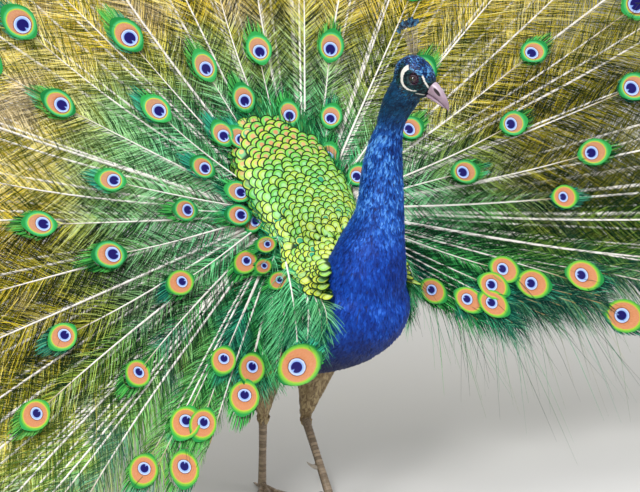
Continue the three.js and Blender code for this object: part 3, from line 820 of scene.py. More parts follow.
# ---------------- the skin
# the regions of the coat: the solids under each, and how deep its skin lies under their surface
REGIONS = {"blue": ["trunk", "neck_lower", "neck_upper"], "face": ["head"], "shield": ["mantle"],
           "down": ["rump"], "thigh": ["thigh_left", "thigh_right"],
           "horn": ["tarsus_left", "tarsus_right", "foot_left", "foot_right"]}
COAT_DEPTH = {"blue": 0.0030, "face": 0.0010, "shield": 0.0040, "down": 0.0060, "thigh": 0.0020,
              "horn": 0.0004}
FLESH = [node for nodes in REGIONS.values() for node in nodes]
SKIN_VOXEL = 0.0030
REGION_BLEND = 0.0022     # how far one region of the coat runs into the next
HEAD_ZONE = 0.060         # the skin is finer this near to the middle of the head
CHIN = -0.034


def merged_copy(node):
    """A solid's shape in the scene, with its doubled corners joined."""
    shape = bmesh.new()
    shape.from_mesh(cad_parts[node].data)
    shape.transform(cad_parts[node].matrix_world)
    bmesh.ops.remove_doubles(shape, verts=shape.verts, dist=1e-5)
    return shape


def search_tree(surfaces):
    """A search tree of surfaces, each given as its corners and its faces."""
    corners, faces = [], []
    for points, rings in surfaces:
        faces += [[len(corners) + n for n in ring] for ring in rings]
        corners += points
    return BVHTree.FromPolygons(corners, faces)


def node_tree(names):
    """A search tree of some solids."""
    def surface(name):
        shape = merged_copy(name)
        made = [v.co.copy() for v in shape.verts], [[v.index for v in f.verts] for f in shape.faces]
        shape.free()
        return made
    return search_tree(surface(name) for name in names)


def surface_tree(pieces):
    """A search tree of some finished pieces and solids, by object."""
    return search_tree(([piece.matrix_world @ v.co for v in piece.data.vertices],
                        [list(f.vertices) for f in piece.data.polygons]) for piece in pieces)


def soften(shape, times):
    for _ in range(times):
        bmesh.ops.smooth_vert(shape, verts=shape.verts, factor=0.5,
                              use_axis_x=True, use_axis_y=True, use_axis_z=True)


def closed_skin():
    """One closed surface round all the flesh."""
    joined = bpy.data.meshes.new("skin")
    whole = bmesh.new()
    for name in FLESH:
        part = merged_copy(name)
        part.to_mesh(joined)
        part.free()
        whole.from_mesh(joined)
    whole.to_mesh(joined)
    whole.free()
    skin = link("skin", joined)
    close = skin.modifiers.new("close", "REMESH")
    close.mode, close.voxel_size, close.use_smooth_shade = "VOXEL", SKIN_VOXEL, True
    mesh = bpy.data.meshes.new_from_object(skin.evaluated_get(bpy.context.evaluated_depsgraph_get()))
    skin.modifiers.clear()
    skin.data = mesh
    return skin


def make_skin(finish):
    """One skin round the flesh, with how far each place belongs to each region of the coat."""
    skin = closed_skin()
    mesh = skin.data
    shape = bmesh.new()
    shape.from_mesh(mesh)
    soften(shape, 3)
    on_head_zone = {v for v in shape.verts if (np.array(v.co) - SKULL) @ HEAD_UP > CHIN
                    and np.linalg.norm(np.array(v.co) - SKULL) < HEAD_ZONE}
    edges = [e for e in shape.edges if e.verts[0] in on_head_zone and e.verts[1] in on_head_zone]
    bmesh.ops.subdivide_edges(shape, edges=edges, cuts=1, use_grid_fill=True)
    bmesh.ops.triangulate(shape, faces=[f for f in shape.faces if len(f.verts) > 4])
    soften(shape, 1)
    shape.normal_update()
    shape.verts.ensure_lookup_table()
    places = np.array([v.co for v in shape.verts])
    normals = np.array([v.normal for v in shape.verts])
    away = []
    for nodes in REGIONS.values():
        tree = node_tree(nodes)
        away.append([tree.find_nearest(Vector(p))[3] for p in places])
    away = np.array(away)
    share = np.exp(-(away - away.min(0)) / REGION_BLEND)
    share /= share.sum(0)
    depth = sum(s * COAT_DEPTH[name] for s, name in zip(share, REGIONS))
    places = carve_head(places - normals * depth[:, None], normals)
    for vert, place in zip(shape.verts, places):
        vert.co = place
    for face in shape.faces:
        face.smooth = True
    shape.to_mesh(mesh)
    shape.free()
    for row, name in zip(share, REGIONS):
        write_shade(mesh, name, row)
    mesh.materials.clear()
    mesh.materials.append(finish.material)
    unwrap(skin)
    settle(skin, FLESH)
    return skin, dict(zip(REGIONS, share))


SOCKET_DEPTH, BROW_RISE, CHEEK_RISE = 0.0022, 0.0008, 0.0008


def carve_head(places, normals):
    """Sinks the eye sockets and raises the brows and cheeks."""
    along, above, beside = from_head(places)
    off = np.hypot(along - EYE_AT[0], above - EYE_AT[1])
    side = np.clip(np.abs(beside) / 0.012, 0, 1)
    socket = np.exp(-(off / 0.0062) ** 2) * side
    brow = np.exp(-((off - 0.0095) / 0.0022) ** 2) * side * (above > EYE_AT[1])
    cheek = np.exp(-(np.hypot(along + 0.004, above + 0.012) / 0.009) ** 2) * side
    rise = -SOCKET_DEPTH * socket + BROW_RISE * brow + CHEEK_RISE * cheek
    near = np.linalg.norm(places - SKULL, axis=1) < HEAD_ZONE
    return places + normals * (rise * near)[:, None]


def unwrap(piece):
    """Lays the piece's own shape out flat, island by island."""
    bpy.context.view_layer.objects.active = piece
    for other in bpy.context.selected_objects:
        other.select_set(False)
    piece.select_set(True)
    piece.data.uv_layers.new(name="OFBake")
    bpy.ops.object.mode_set(mode="EDIT")
    bpy.ops.mesh.select_all(action="SELECT")
    bpy.ops.uv.smart_project(angle_limit=math.radians(66), island_margin=0.002)
    bpy.ops.object.mode_set(mode="OBJECT")
    piece.select_set(False)


# which way the feathers lie: (fore, left, up) of a place, then the direction there
LIE = [((0.330, 0.058, 0.745), (-0.70, -0.35, 0.30)), ((0.300, 0.040, 0.790), (-0.80, -0.35, 0.10)),
       ((0.262, 0.020, 0.790), (-0.60, -0.30, -0.60)), ((0.300, 0.040, 0.735), (-0.80, -0.40, -0.30)),
       ((0.255, 0.020, 0.720), (-0.35, -0.10, -1.0)), ((0.240, 0.020, 0.640), (-0.05, 0.0, -1.0)),
       ((0.238, 0.015, 0.560), (0.0, 0.0, -1.0)), ((0.290, 0.0, 0.480), (0.05, 0.0, -1.0)),
       ((0.170, 0.0, 0.500), (-0.35, 0.0, -1.0)), ((0.220, 0.060, 0.470), (-0.20, 0.10, -1.0)),
       ((0.220, -0.060, 0.470), (-0.20, -0.10, -1.0)), ((0.300, 0.0, 0.380), (-0.30, 0.0, -1.0)),
       ((0.240, 0.0, 0.300), (-1.0, 0.0, -0.40)), ((0.160, 0.090, 0.360), (-0.9, 0.0, -0.50)),
       ((0.160, -0.090, 0.360), (-0.9, 0.0, -0.50)), ((0.120, 0.0, 0.245), (-1.0, 0.0, -0.10)),
       ((0.0, 0.080, 0.310), (-1.0, 0.0, -0.20)), ((0.0, -0.080, 0.310), (-1.0, 0.0, -0.20)),
       ((-0.020, 0.0, 0.225), (-1.0, 0.0, 0.10)), ((-0.100, 0.0, 0.290), (-1.0, 0.0, 0.25)),
       ((-0.014, 0.056, 0.250), (-0.2, 0.0, -1.0)), ((-0.002, -0.060, 0.250), (-0.2, 0.0, -1.0)),
       ((-0.035, 0.045, 0.150), (-0.1, 0.0, -1.0)), ((-0.020, -0.052, 0.170), (-0.1, 0.0, -1.0)),
       ((-0.040, 0.0, 0.400), (-0.5, 0.0, 0.9)), ((-0.080, 0.0, 0.500), (-0.5, 0.0, 0.9)),
       ((0.020, 0.060, 0.450), (-0.4, 0.2, 0.9)), ((0.020, -0.060, 0.450), (-0.4, -0.2, 0.9)),
       ((-0.060, 0.0, 0.620), (-0.4, 0.0, 0.9))]
LIE_AT = np.array([bird(*p) for p, _ in LIE])
LIE_WAY = unit(np.array([d[0] * FORE + d[1] * LEFT + d[2] * UP for _, d in LIE]))


def lie(places, normals):
    """The way feathers lie at these places, along the surface: that of the nearest entries."""
    gap = np.linalg.norm(places[:, None] - LIE_AT[None], axis=2)
    weight = 1 / (gap + 0.01) ** 4
    way = (weight[..., None] * LIE_WAY[None]).sum(1)
    way -= (way * normals).sum(1)[:, None] * normals
    return unit(way)


def read(items, key, kind=float, width=3):
    """One property of all the items of a mesh, as rows of numbers."""
    values = np.empty(len(items) * width, kind)
    items.foreach_get(key, values)
    return values.reshape(-1, width)


SAMPLES_MOST = 60000
CELL_KEY = np.array([1, 100003, 10000019])      # gives every cell of a grid a number of its own


def sample(skin, share, wanted, spacing):
    """Places spread evenly over the part of the skin that wanted picks, about spacing apart, with
    their normals and their places on the unwrap."""
    mesh = skin.data
    mesh.calc_loop_triangles()
    corner = read(mesh.loop_triangles, "vertices", np.int32)
    loops = read(mesh.loop_triangles, "loops", np.int32)
    co = read(mesh.vertices, "co")
    uv = read(mesh.uv_layers["OFBake"].data, "uv", width=2)
    a, b, c = (co[corner[:, k]] for k in range(3))
    cross = np.cross(b - a, c - a)
    area = 0.5 * np.linalg.norm(cross, axis=1)
    chance = area * wanted((a + b + c) / 3, {k: v[corner].mean(1) for k, v in share.items()})
    many = min(SAMPLES_MOST, int(6 * chance.sum() / spacing ** 2))
    pick = rng.choice(len(corner), size=many, p=chance / chance.sum())
    s, t = rng.random(many), rng.random(many)
    over = s + t > 1
    s[over], t[over] = 1 - s[over], 1 - t[over]
    weights = np.stack([1 - s - t, s, t], 1)[..., None]
    places = (weights * co[corner[pick]]).sum(1)
    home = (weights * uv[loops[pick]]).sum(1)
    # one place is kept in each cell of a grid
    cell = np.floor(places / spacing).astype(np.int64) @ CELL_KEY
    _, first = np.unique(cell, return_index=True)
    first = rng.permutation(first)
    return places[first], unit(cross[pick])[first], home[first]


SMALL_FEATHER = [(0.0, 0.45), (0.40, 1.0), (0.78, 0.85), (1.0, 0.20)]
HAIRY_FEATHER = [(0.0, 0.6), (0.55, 1.0), (1.0, 0.10)]


def drape(points, tree, heights, loose=False):
    """Lays rows of vane points over a surface at these heights, or no lower than them if loose."""
    middle = points.shape[2] // 2
    spine = points[:, :, middle]
    flat = spine.reshape(-1, 3)
    near = [tree.find_nearest(Vector(p)) for p in flat]
    at = np.array([n[0] for n in near]).reshape(spine.shape)
    normal = np.array([n[1] for n in near]).reshape(spine.shape)
    rise = heights - ((spine - at) * normal).sum(-1)
    if loose:
        rise = np.maximum(rise, 0.0)
    return points + (normal * rise[..., None])[:, :, None]


def cover(planting, tree, places, normals, home, length, width, high, wander=0.25):
    """Plants overlapping feathers that lie along the body, their tips a little proud of it."""
    count = len(places)
    way = lie(places, normals)
    side = np.cross(normals, way)
    way = unit(way + side * rng.normal(0, wander, count)[:, None])
    length = length * rng.uniform(0.85, 1.2, count)
    points, flat = vanes(places, way, normals, length, width, SMALL_FEATHER, arch=0.30,
                         sweep=rng.normal(0, 0.08, count))
    t = np.array(SMALL_FEATHER)[:, 0]
    heights = high * (-0.3 + 1.3 * t ** 0.8)[None] * rng.uniform(0.6, 1.4, count)[:, None]
    planting.add((drape(points, tree, heights), flat), home, tone=rng.random(count))


# the corner of the shield that shows between its low edge and the breast, in pixels: its top and
# left ends, a point and the slope of its low edge, and the breast's edge as (y, x)
CORNER_TOP, CORNER_LEFT = 222, 256
CORNER_LOW = (284, 263, 0.86)
BREAST_EDGE = [(227, 345), (242, 334), (258, 329), (279, 328), (298, 326)]
CORNER_HIGH = 0.56        # nothing above this height belongs to it


def under_shield(x, y, more=0):
    """Whether pixels lie in the shield's lower corner, or this much past the breast's edge."""
    return (y > CORNER_TOP) & (y < CORNER_LOW[1] + (x - CORNER_LOW[0]) * CORNER_LOW[2]) \
        & (x > CORNER_LEFT) & (x < read_off(y, BREAST_EDGE) + more)


def in_corner(places):
    """Places that fall in the shield's lower corner, on either side of the bird."""
    return under_shield(*in_frame(on_near_side(places))) & (places[:, 2] < CORNER_HIGH)


BREAST_TOP = 0.470        # the blue feathers are the neck's above this height
CHEEK_LOW = 0.715
FAN_FOOT = bird(0.02, 0, 0.5)      # the shield's scales end behind a plane through here


def bare_here(places):
    """The bare white skin round the eye, as bare_patches draws it."""
    along, above, beside = from_head(places)
    ahead, over, opening, slope = bare_lines(along, above)
    arc = (np.abs(np.hypot(ahead, over) - CRESCENT[2]) < 0.0030) & (opening > 0.0010)
    stripe = (np.abs(slope) < 0.0015) & (along > 0.017) & (along < 0.034)
    return ((arc | stripe) & (np.abs(beside) > 0.008)).astype(float)


def on_face(middle, part):
    """The head's feathers: not on the eyes, the bare skin or the bill."""
    along, above, beside = from_head(middle)
    off = np.hypot(along - EYE_AT[0], above - EYE_AT[1])
    clear = (off > 0.0080) | (np.abs(beside) < 0.010)
    cheek = (off < 0.030) & (middle[:, 2] > CHEEK_LOW)
    return ((part["face"] > 0.35) | cheek) * clear * (along < 0.0335) * (1 - 0.95 * bare_here(middle))


def on_neck(middle, part):
    """The neck's feathers: above the breast, not on the cheeks and not in the shield's corner."""
    cheek = (np.linalg.norm(middle - on_head(EYE_AT[0], EYE_AT[1], 0.0), axis=1) < 0.034) \
        & (middle[:, 2] > CHEEK_LOW)
    blue = (part["blue"] + 0.5 * part["face"] > 0.5) * (middle[:, 2] > BREAST_TOP)
    return blue * ~in_corner(middle) * ~cheek


def on_trunk(middle, part):
    """The breast's and the flanks' feathers."""
    return (part["blue"] > 0.4) * (middle[:, 2] <= BREAST_TOP) * ~in_corner(middle)


def behind_shield(middle, part):
    """The down behind the shield's scales."""
    return (part["shield"] > 0.4) * ((middle - FAN_FOOT) @ FAN_OUT < 0.004)


def plant_body(skin, share):
    """The small feathers of the head, neck, breast, flanks, thighs and rump."""
    blue = blue_finish("blue neck and breast feathers")
    face = face_finish("head feathers")
    tan = plain_feather_finish("thigh feathers", (0.22, 0.145, 0.065), (0.50, 0.38, 0.20))
    grey = plain_feather_finish("rump down", (0.07, 0.055, 0.045), (0.26, 0.22, 0.18))
    tree = surface_tree([skin])
    # each piece: its name, finish and slot, then its plantings: where, how far apart, length,
    # half width, how proud the tips lie and how far the feathers stray
    for name, finish, slot, plantings in (
            ("head_feathers", face, "face_plumage", [(on_face, 0.0021, 0.0056, 0.0014, 0.0008)]),
            ("neck_feathers", blue, "blue_plumage", [(on_neck, 0.0031, 0.0125, 0.0017, 0.0018)]),
            ("breast_feathers", blue, "blue_plumage", [(on_trunk, 0.0040, 0.0175, 0.0022, 0.0024)]),
            ("thigh_feathers", tan, "thigh_plumage",
             [(lambda m, p: p["thigh"] > 0.4, 0.0042, 0.0150, 0.0026, 0.0018)]),
            ("rump_feathers", grey, "rump_plumage",
             [(lambda m, p: p["down"] > 0.35, 0.0062, 0.0300, 0.0052, 0.007, 0.5),
              (behind_shield, 0.0090, 0.0300, 0.0065, 0.004)])):
        planting = Planting()
        for wanted, spacing, *sizes in plantings:
            cover(planting, tree, *sample(skin, share, wanted, spacing), *sizes)
        planting.piece(name, finish, slot)


# ---------------- the shield of scale feathers
SHIELD_ROOT = bird(0.120, -0.010, 0.440)
SHIELD_PARTING = bird(0.178, 0.012, 0.466)      # scales lie away from here, under the neck
# the shield's edge in the frame, in pixels, from the shoulder round the top to the neck and back
SHIELD_EDGE = [(232, 158), (236, 144), (248, 132), (266, 126), (284, 130), (298, 137), (317, 150),
               (332, 171), (346, 188), (358, 202), (351, 218), (344, 228), (334, 243), (329, 258),
               (328, 279), (326, 295), (322, 292), (312, 281), (300, 270), (292, 263), (288, 252),
               (280, 236), (271, 226), (264, 216), (254, 203), (247, 188), (238, 174)]
NECK_EDGE = [(120, 362), (200, 357), (227, 347), (242, 336)]       # as (y, x), in pixels
SCALE = [(0.0, 0.45), (0.30, 0.85), (0.56, 1.0), (0.76, 0.94), (0.90, 0.70), (0.97, 0.40), (1.0, 0.10)]
SCALES_ALONG, SCALES_ACROSS = 0.66, 1.16      # how far apart in each direction, as shares
SCALE_SPACING = [(0.02, 0.0082), (0.10, 0.0098), (0.24, 0.0138), (0.34, 0.0155)]


def within(x, y, outline):
    """Whether pixels lie inside a closed outline."""
    inside = np.zeros(np.shape(x), bool)
    for (ax, ay), (bx, by) in zip(outline, outline[1:] + outline[:1]):
        cross = (ay > y) != (by > y)
        with np.errstate(divide="ignore", invalid="ignore"):
            inside ^= cross & (x < (bx - ax) * (y - ay) / (by - ay) + ax)
    return inside


def scaled_here(places):
    """Places that scale feathers cover: seen ones by the edge, hidden ones by the other side."""
    x, y = in_frame(places)
    hidden = (((places - SHIFT) @ LEFT) > 0) & (x > read_off(y, NECK_EDGE))
    x, y = in_frame(np.where(hidden[:, None], mirrored(places), places))
    return within(x, y, SHIELD_EDGE)


# the range of pixels round the corner where the smooth surface is fitted, and where it is used
FIT_X, FIT_Y = (262, 348), (222, 306)
USED_X, USED_Y = (256, 352), (232, 304)
CORNER_MIDDLE, CORNER_HALF = (300, 260), 40
TUCK_EDGE = [(227, 346), (242, 335), (258, 331), (279, 330), (298, 327)]      # as (y, x)
NOTHING_HIT = 9.0
NEAR_SIDE = 3.05          # what shows is no further away than this


def smooth_corner(tree):
    """Places and normals over the shoulder, on a smooth surface that lies over its hollows, and
    whether each place is tucked under the neck."""
    def terms(x, y):
        a, b = (x - CORNER_MIDDLE[0]) / CORNER_HALF, (y - CORNER_MIDDLE[1]) / CORNER_HALF
        return np.stack([np.ones_like(a), a, b, a * a, a * b, b * b], 1)

    def surface(x, y):
        return VIEW_FROM + sight_lines(x, y) * (terms(x, y) @ fit - lift - 0.001)[:, None]

    x, y = rng.uniform(*FIT_X, 1500), rng.uniform(*FIT_Y, 1500)
    keep = within(x, y, SHIELD_EDGE) | under_shield(x, y)
    x, y = x[keep], y[keep]
    far = depths(tree, sight_lines(x, y), NOTHING_HIT)
    x, y, far = (a[far < NEAR_SIDE] for a in (x, y, far))
    fit = np.linalg.lstsq(terms(x, y), far, rcond=None)[0]
    lift = np.percentile(terms(x, y) @ fit - far, 90)
    x, y = rng.uniform(*USED_X, 9000), rng.uniform(*USED_Y, 9000)
    reach = 6 * np.clip((x - 320) / 8, 0, 1)        # how far scales run in under the neck, in pixels
    below_skin_scales = y > 252 - (x - 285) * 0.45 - (x > 312) * 8
    keep = under_shield(x, y, 6) & within(x - reach, y, SHIELD_EDGE) & below_skin_scales
    x, y = x[keep], y[keep]
    lines = sight_lines(x, y)
    places = surface(x, y)
    normals = unit(np.cross(surface(x, y + 1) - places, surface(x + 1, y) - places))
    hit = depths(tree, lines, NOTHING_HIT)
    over = np.maximum(0.0, (places - VIEW_FROM) @ VIEW_DIR - hit * (lines @ VIEW_DIR) + 0.002)
    tucked = x > read_off(y, TUCK_EDGE)
    over[tucked & (over > 0.004)] = 0.0
    normals = unit(normals * -np.sign(normals @ VIEW_DIR)[:, None] - VIEW_DIR * 0.25)
    return places - over[:, None] * VIEW_DIR, normals, tucked


def plant_edge_barbs(places, normals, homes):
    """Loose green barbs that take over past the shield's edge."""
    count = len(places)
    way = flattened(places - SHIELD_ROOT + UP * 0.03, normals)
    way = unit(unit(way) + rng.normal(0, 0.22, (count, 3)) + normals * 0.12)
    length = rng.uniform(0.018, 0.045, count)
    planting = Planting()
    planting.add(ribbons(places, way, -UP * (length * 0.15)[:, None], length, FAN_OUT, 1.3), homes,
                 tone=np.clip(rng.normal(0.45, 0.25, count), 0, 1), glow=rng.uniform(0.1, 0.5, count))
    planting.piece("shield_barbs", barb_finish(), "train_plumage")


ON_SKIN, OVER_HOLLOWS, TUCKED = 0, 1, 2      # how a scale lies


def plant_shield(skin, share):
    """Scale feathers over the raised mantle and the shoulders, their free edges up and outwards."""
    def on_shield(middle, part):
        return (part["shield"] > 0.45) * ((middle - FAN_FOOT) @ FAN_OUT > -0.012)

    places, normals, homes = sample(skin, share, on_shield, 0.0030)
    tree = surface_tree([skin] + [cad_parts[f"wing_{name}"] for name in ("left", "right")])
    scaled = scaled_here(places)
    past = ~scaled & (rng.random(len(places)) < 0.55)
    plant_edge_barbs(places[past], normals[past], homes[past])
    more, ways, tucked = smooth_corner(tree)
    lies = np.concatenate([np.full(scaled.sum(), ON_SKIN),
                           np.tile(np.where(tucked, TUCKED, OVER_HOLLOWS), 2)])
    places = np.vstack([places[scaled], more, mirrored(more)])
    normals = np.vstack([normals[scaled], ways, ways - across_bird(ways)])
    far = np.linalg.norm(places - SHIELD_ROOT, axis=1)
    spacing = read_off(far, SCALE_SPACING) * (1 - 0.2 * (lies == TUCKED))
    way = unit(flattened(places - SHIELD_PARTING, normals))
    side = np.cross(normals, way)
    # from the root outwards, a scale grows where no other one is too near
    kept = []
    for n in np.argsort(far + rng.uniform(0, 0.003, len(far))):
        gap = places[kept] - places[n]
        apart = np.hypot(np.hypot(gap @ way[n] / SCALES_ALONG, gap @ side[n] / SCALES_ACROSS),
                         gap @ normals[n])
        if not kept or (apart > spacing[n]).all():
            kept.append(n)
    places, normals, far, spacing, way, side, lies = (
        x[kept] for x in (places, normals, far, spacing, way, side, lies))
    count = len(places)
    way = unit(way + side * rng.normal(0, 0.07, count)[:, None])
    length = spacing * rng.uniform(2.0, 2.3, count) * (1 + 0.2 * (lies != ON_SKIN))
    points, flat = vanes(places, way, normals, length, spacing * rng.uniform(0.92, 1.04, count),
                         SCALE, arch=0.05, columns=5)
    t = np.array(SCALE)[:, 0]
    heights = (0.0008 + 0.0036 * t)[None] * (spacing / 0.012)[:, None] \
        * rng.uniform(0.9, 1.1, count)[:, None]
    free = points + (normals[:, None] * heights[..., None])[:, :, None]
    lies = lies[:, None, None, None]
    points = np.where(lies == ON_SKIN, drape(points, tree, heights),
                      np.where(lies == OVER_HOLLOWS, drape(free, tree, heights * 0.6, True), free))
    large_vanes((points, flat), "shield_scales", scale_finish(), "mantle_plumage",
                tone=rng.random(count), glow=np.clip((far - 0.13) / 0.08, 0, 1))


# ---------------- the train
# where the eyespots lie in the frame, in pixels; a third number is a smaller or larger size
EYES_SEEN = [
    (20, 24, 0.88), (127, 37), (204, 68), (258, 51), (59, 105, 0.90), (156, 111), (243, 100),
    (288, 115), (222, 135), (239, 139), (111, 181, 0.85), (203, 168), (238, 193), (185, 211), (238, 216),
    (253, 222), (40, 225, 0.84), (110, 255), (330, 48), (330, 118), (328, 156), (357, 176),
    (532, 53, 0.76), (420, 73, 1.10), (632, 88, 0.88), (511, 125, 0.84), (592, 153, 0.82), (463, 173),
    (562, 198, 0.78), (638, 4), (415, -15), (409, 130), (180, 283), (245, 262), (63, 337, 0.78),
    (138, 373, 0.84), (223, 360, 0.90), (251, 368), (298, 366), (243, 397), (35, 415, 0.76),
    (185, 422, 0.90), (202, 424, 0.85), (143, 470, 0.78), (184, 468, 0.88), (431, 291), (467, 300),
    (491, 286), (502, 270), (531, 284), (581, 276), (622, 316), (491, 304)]
LIMIT = 147.0             # the fan's last feathers, in degrees from the middle one
EYE_ROWS = [0.34, 0.44, 0.54, 0.64, 0.74, 0.84, 0.94, 1.03, 1.11, 1.17]
EYE_WIDTHS = [(0.15, 0.037), (0.30, 0.047), (0.50, 0.059), (1.2, 0.065)]
EYE_GAP = 0.060
FRAME_EDGE = 14           # pixels round the frame that count as seen
QUILL_START = 0.055
BARB_SPACING = 0.0025
BARB_HALF_WIDTH = 0.00050
# the lowest feathers hang in front of the wings: pixels where they leave the shield and end, and
# the size of their eyespot
APRON = [((286, 262), (298, 366), 0.062), ((300, 277), (313, 352), 0), ((311, 288), (322, 334), 0),
         ((283, 280), (279, 364), 0), ((293, 284), (290, 368), 0), ((273, 276), (263, 368), 0),
         ((306, 280), (305, 362), 0), ((317, 293), (327, 324), 0), ((263, 268), (248, 352), 0),
         ((296, 270), (299, 335), 0), ((278, 268), (272, 346), 0), ((258, 272), (238, 356), 0),
         ((268, 272), (256, 330), 0), ((256, 262), (232, 330), 0), ((292, 284), (289, 376), 0),
         ((282, 280), (273, 382), 0), ((272, 276), (257, 388), 0), ((300, 284), (300, 346), 0),
         ((278, 236), (267, 244), 0.027), ((274, 256), (264, 266), 0.025), ((286, 270), (279, 280), 0.028)]
LARGE_EYE = 0.05
LARGE_EYE_WAY = unit(VIEW_RIGHT * 0.74 + VIEW_UP * 0.67)
# the lower edge of the feathers that hang outside the wing, in pixels; no barb ends below it, up
# to the breast
APRON_EDGE = [(188, 700), (200, 482), (215, 438), (240, 422), (284, 400), (295, 390), (331, 371),
              (340, 363)]
APRON_END = 345


def layer(r):
    """How far in front of the middle of the train a feather of this reach lies."""
    return read_off(r, [(0.15, 0.018), (0.45, 0.008), (1.2, -0.004)])


def on_fan(x, y):
    """The place on the train that shows at a pixel, as (out, round), and how far off that is."""
    low, high, left, right = 0.08, 1.25, -LIMIT, LIMIT
    for _ in range(5):
        r, deg = np.meshgrid(np.linspace(low, high, 41), np.linspace(left, right, 81), indexing="ij")
        px, py = in_frame(fan(r, deg, layer(r)))
        off = np.hypot(px - x, py - y)
        best = np.unravel_index(np.argmin(off), r.shape)
        at_r, at_deg = r[best], deg[best]
        wide, tall = (right - left) / 30, (high - low) / 15
        low, high, left, right = at_r - tall, at_r + tall, at_deg - wide, at_deg + wide
    return at_r, at_deg, off[best]


def train_feathers():
    """(out, round, kind) of every train feather: kind is its eyespot's size, 0 for a forked tip."""
    feathers = []
    for x, y, *size in EYES_SEEN:
        r, deg, off = on_fan(x, y)
        if off < 4:
            feathers.append((r, deg, size[0] if size else 1))
    # outside the frame eyespots are spread evenly
    taken = np.array([fan(r, deg) for r, deg, _ in feathers])
    for n, row in enumerate(EYE_ROWS):
        step = 19.5 if row < 0.9 else 15.0
        for deg in np.arange(-LIMIT + 3 + (n % 2) * step / 2, LIMIT - 2, step):
            deg = deg + rng.uniform(-2.0, 2.0)
            r = row + rng.uniform(-0.02, 0.02)
            place = fan(r, deg)
            x, y = in_frame(place)
            seen = -FRAME_EDGE < x < FRAME_WIDE + FRAME_EDGE and -FRAME_EDGE < y < FRAME_HIGH + FRAME_EDGE
            clear = np.linalg.norm(taken - place, axis=1).min() >= EYE_GAP
            if r <= fan_reach(deg) - 0.05 and not seen and clear:
                taken = np.vstack([taken, place])
                feathers.append((r, deg, 1))
    # the outermost feathers have forked tips, and so have the low ones that fill the fan's ends
    for deg in np.arange(-LIMIT + 4, LIMIT - 3, 6.8):
        feathers.append((fan_reach(deg) - 0.012, deg + rng.uniform(-1, 1), 0))
    for side in (-1, 1):
        for deg in np.arange(102, 120, 1.9):
            feathers.append((fan_reach(deg) - rng.uniform(0.03, 0.09), side * deg, 0))
    for deg in np.arange(121, 147, 1.6):
        feathers.append((fan_reach(deg) * rng.uniform(0.78, 1.02), deg, 0))
    return sorted(feathers, key=lambda feather: feather[1])


# along a train feather, as a share of its length: its quill's radius, and its barbs' length and
# angle in degrees; then what its whole length does to each
QUILL_RADIUS = [(0, 0.0029), (0.5, 0.0021), (1, 0.0009)]
QUILL_BY_REACH = [(0.02, 0.22), (0.15, 0.55), (0.7, 1.0)]
BARB_ANGLE = [(0, 58), (0.5, 48), (0.85, 40), (1, 26)]
BARBS_BELOW = [(0, 0.034), (0.25, 0.062), (0.7, 0.072)]
BARBS_TO_EYE = BARBS_BELOW + [(0.92, 0.052), (1.0, 0.036)]
BARBS_TO_TIP = BARBS_BELOW + [(0.92, 0.066), (1.0, 0.058)]
BARBS_BY_REACH = [(0.10, 0.42), (0.30, 0.7), (0.55, 1.0), (0.80, 1.15), (1.15, 1.35)]
BARE_SHAFT = [(0.15, 0.06), (0.45, 0.10), (1.15, 0.20)]      # share of the quill without barbs
STRAY_SHARE, DARK_SHARE = 0.028, 0.26
DARK_TONE, BRIGHT_TONE = 0.08, 0.76


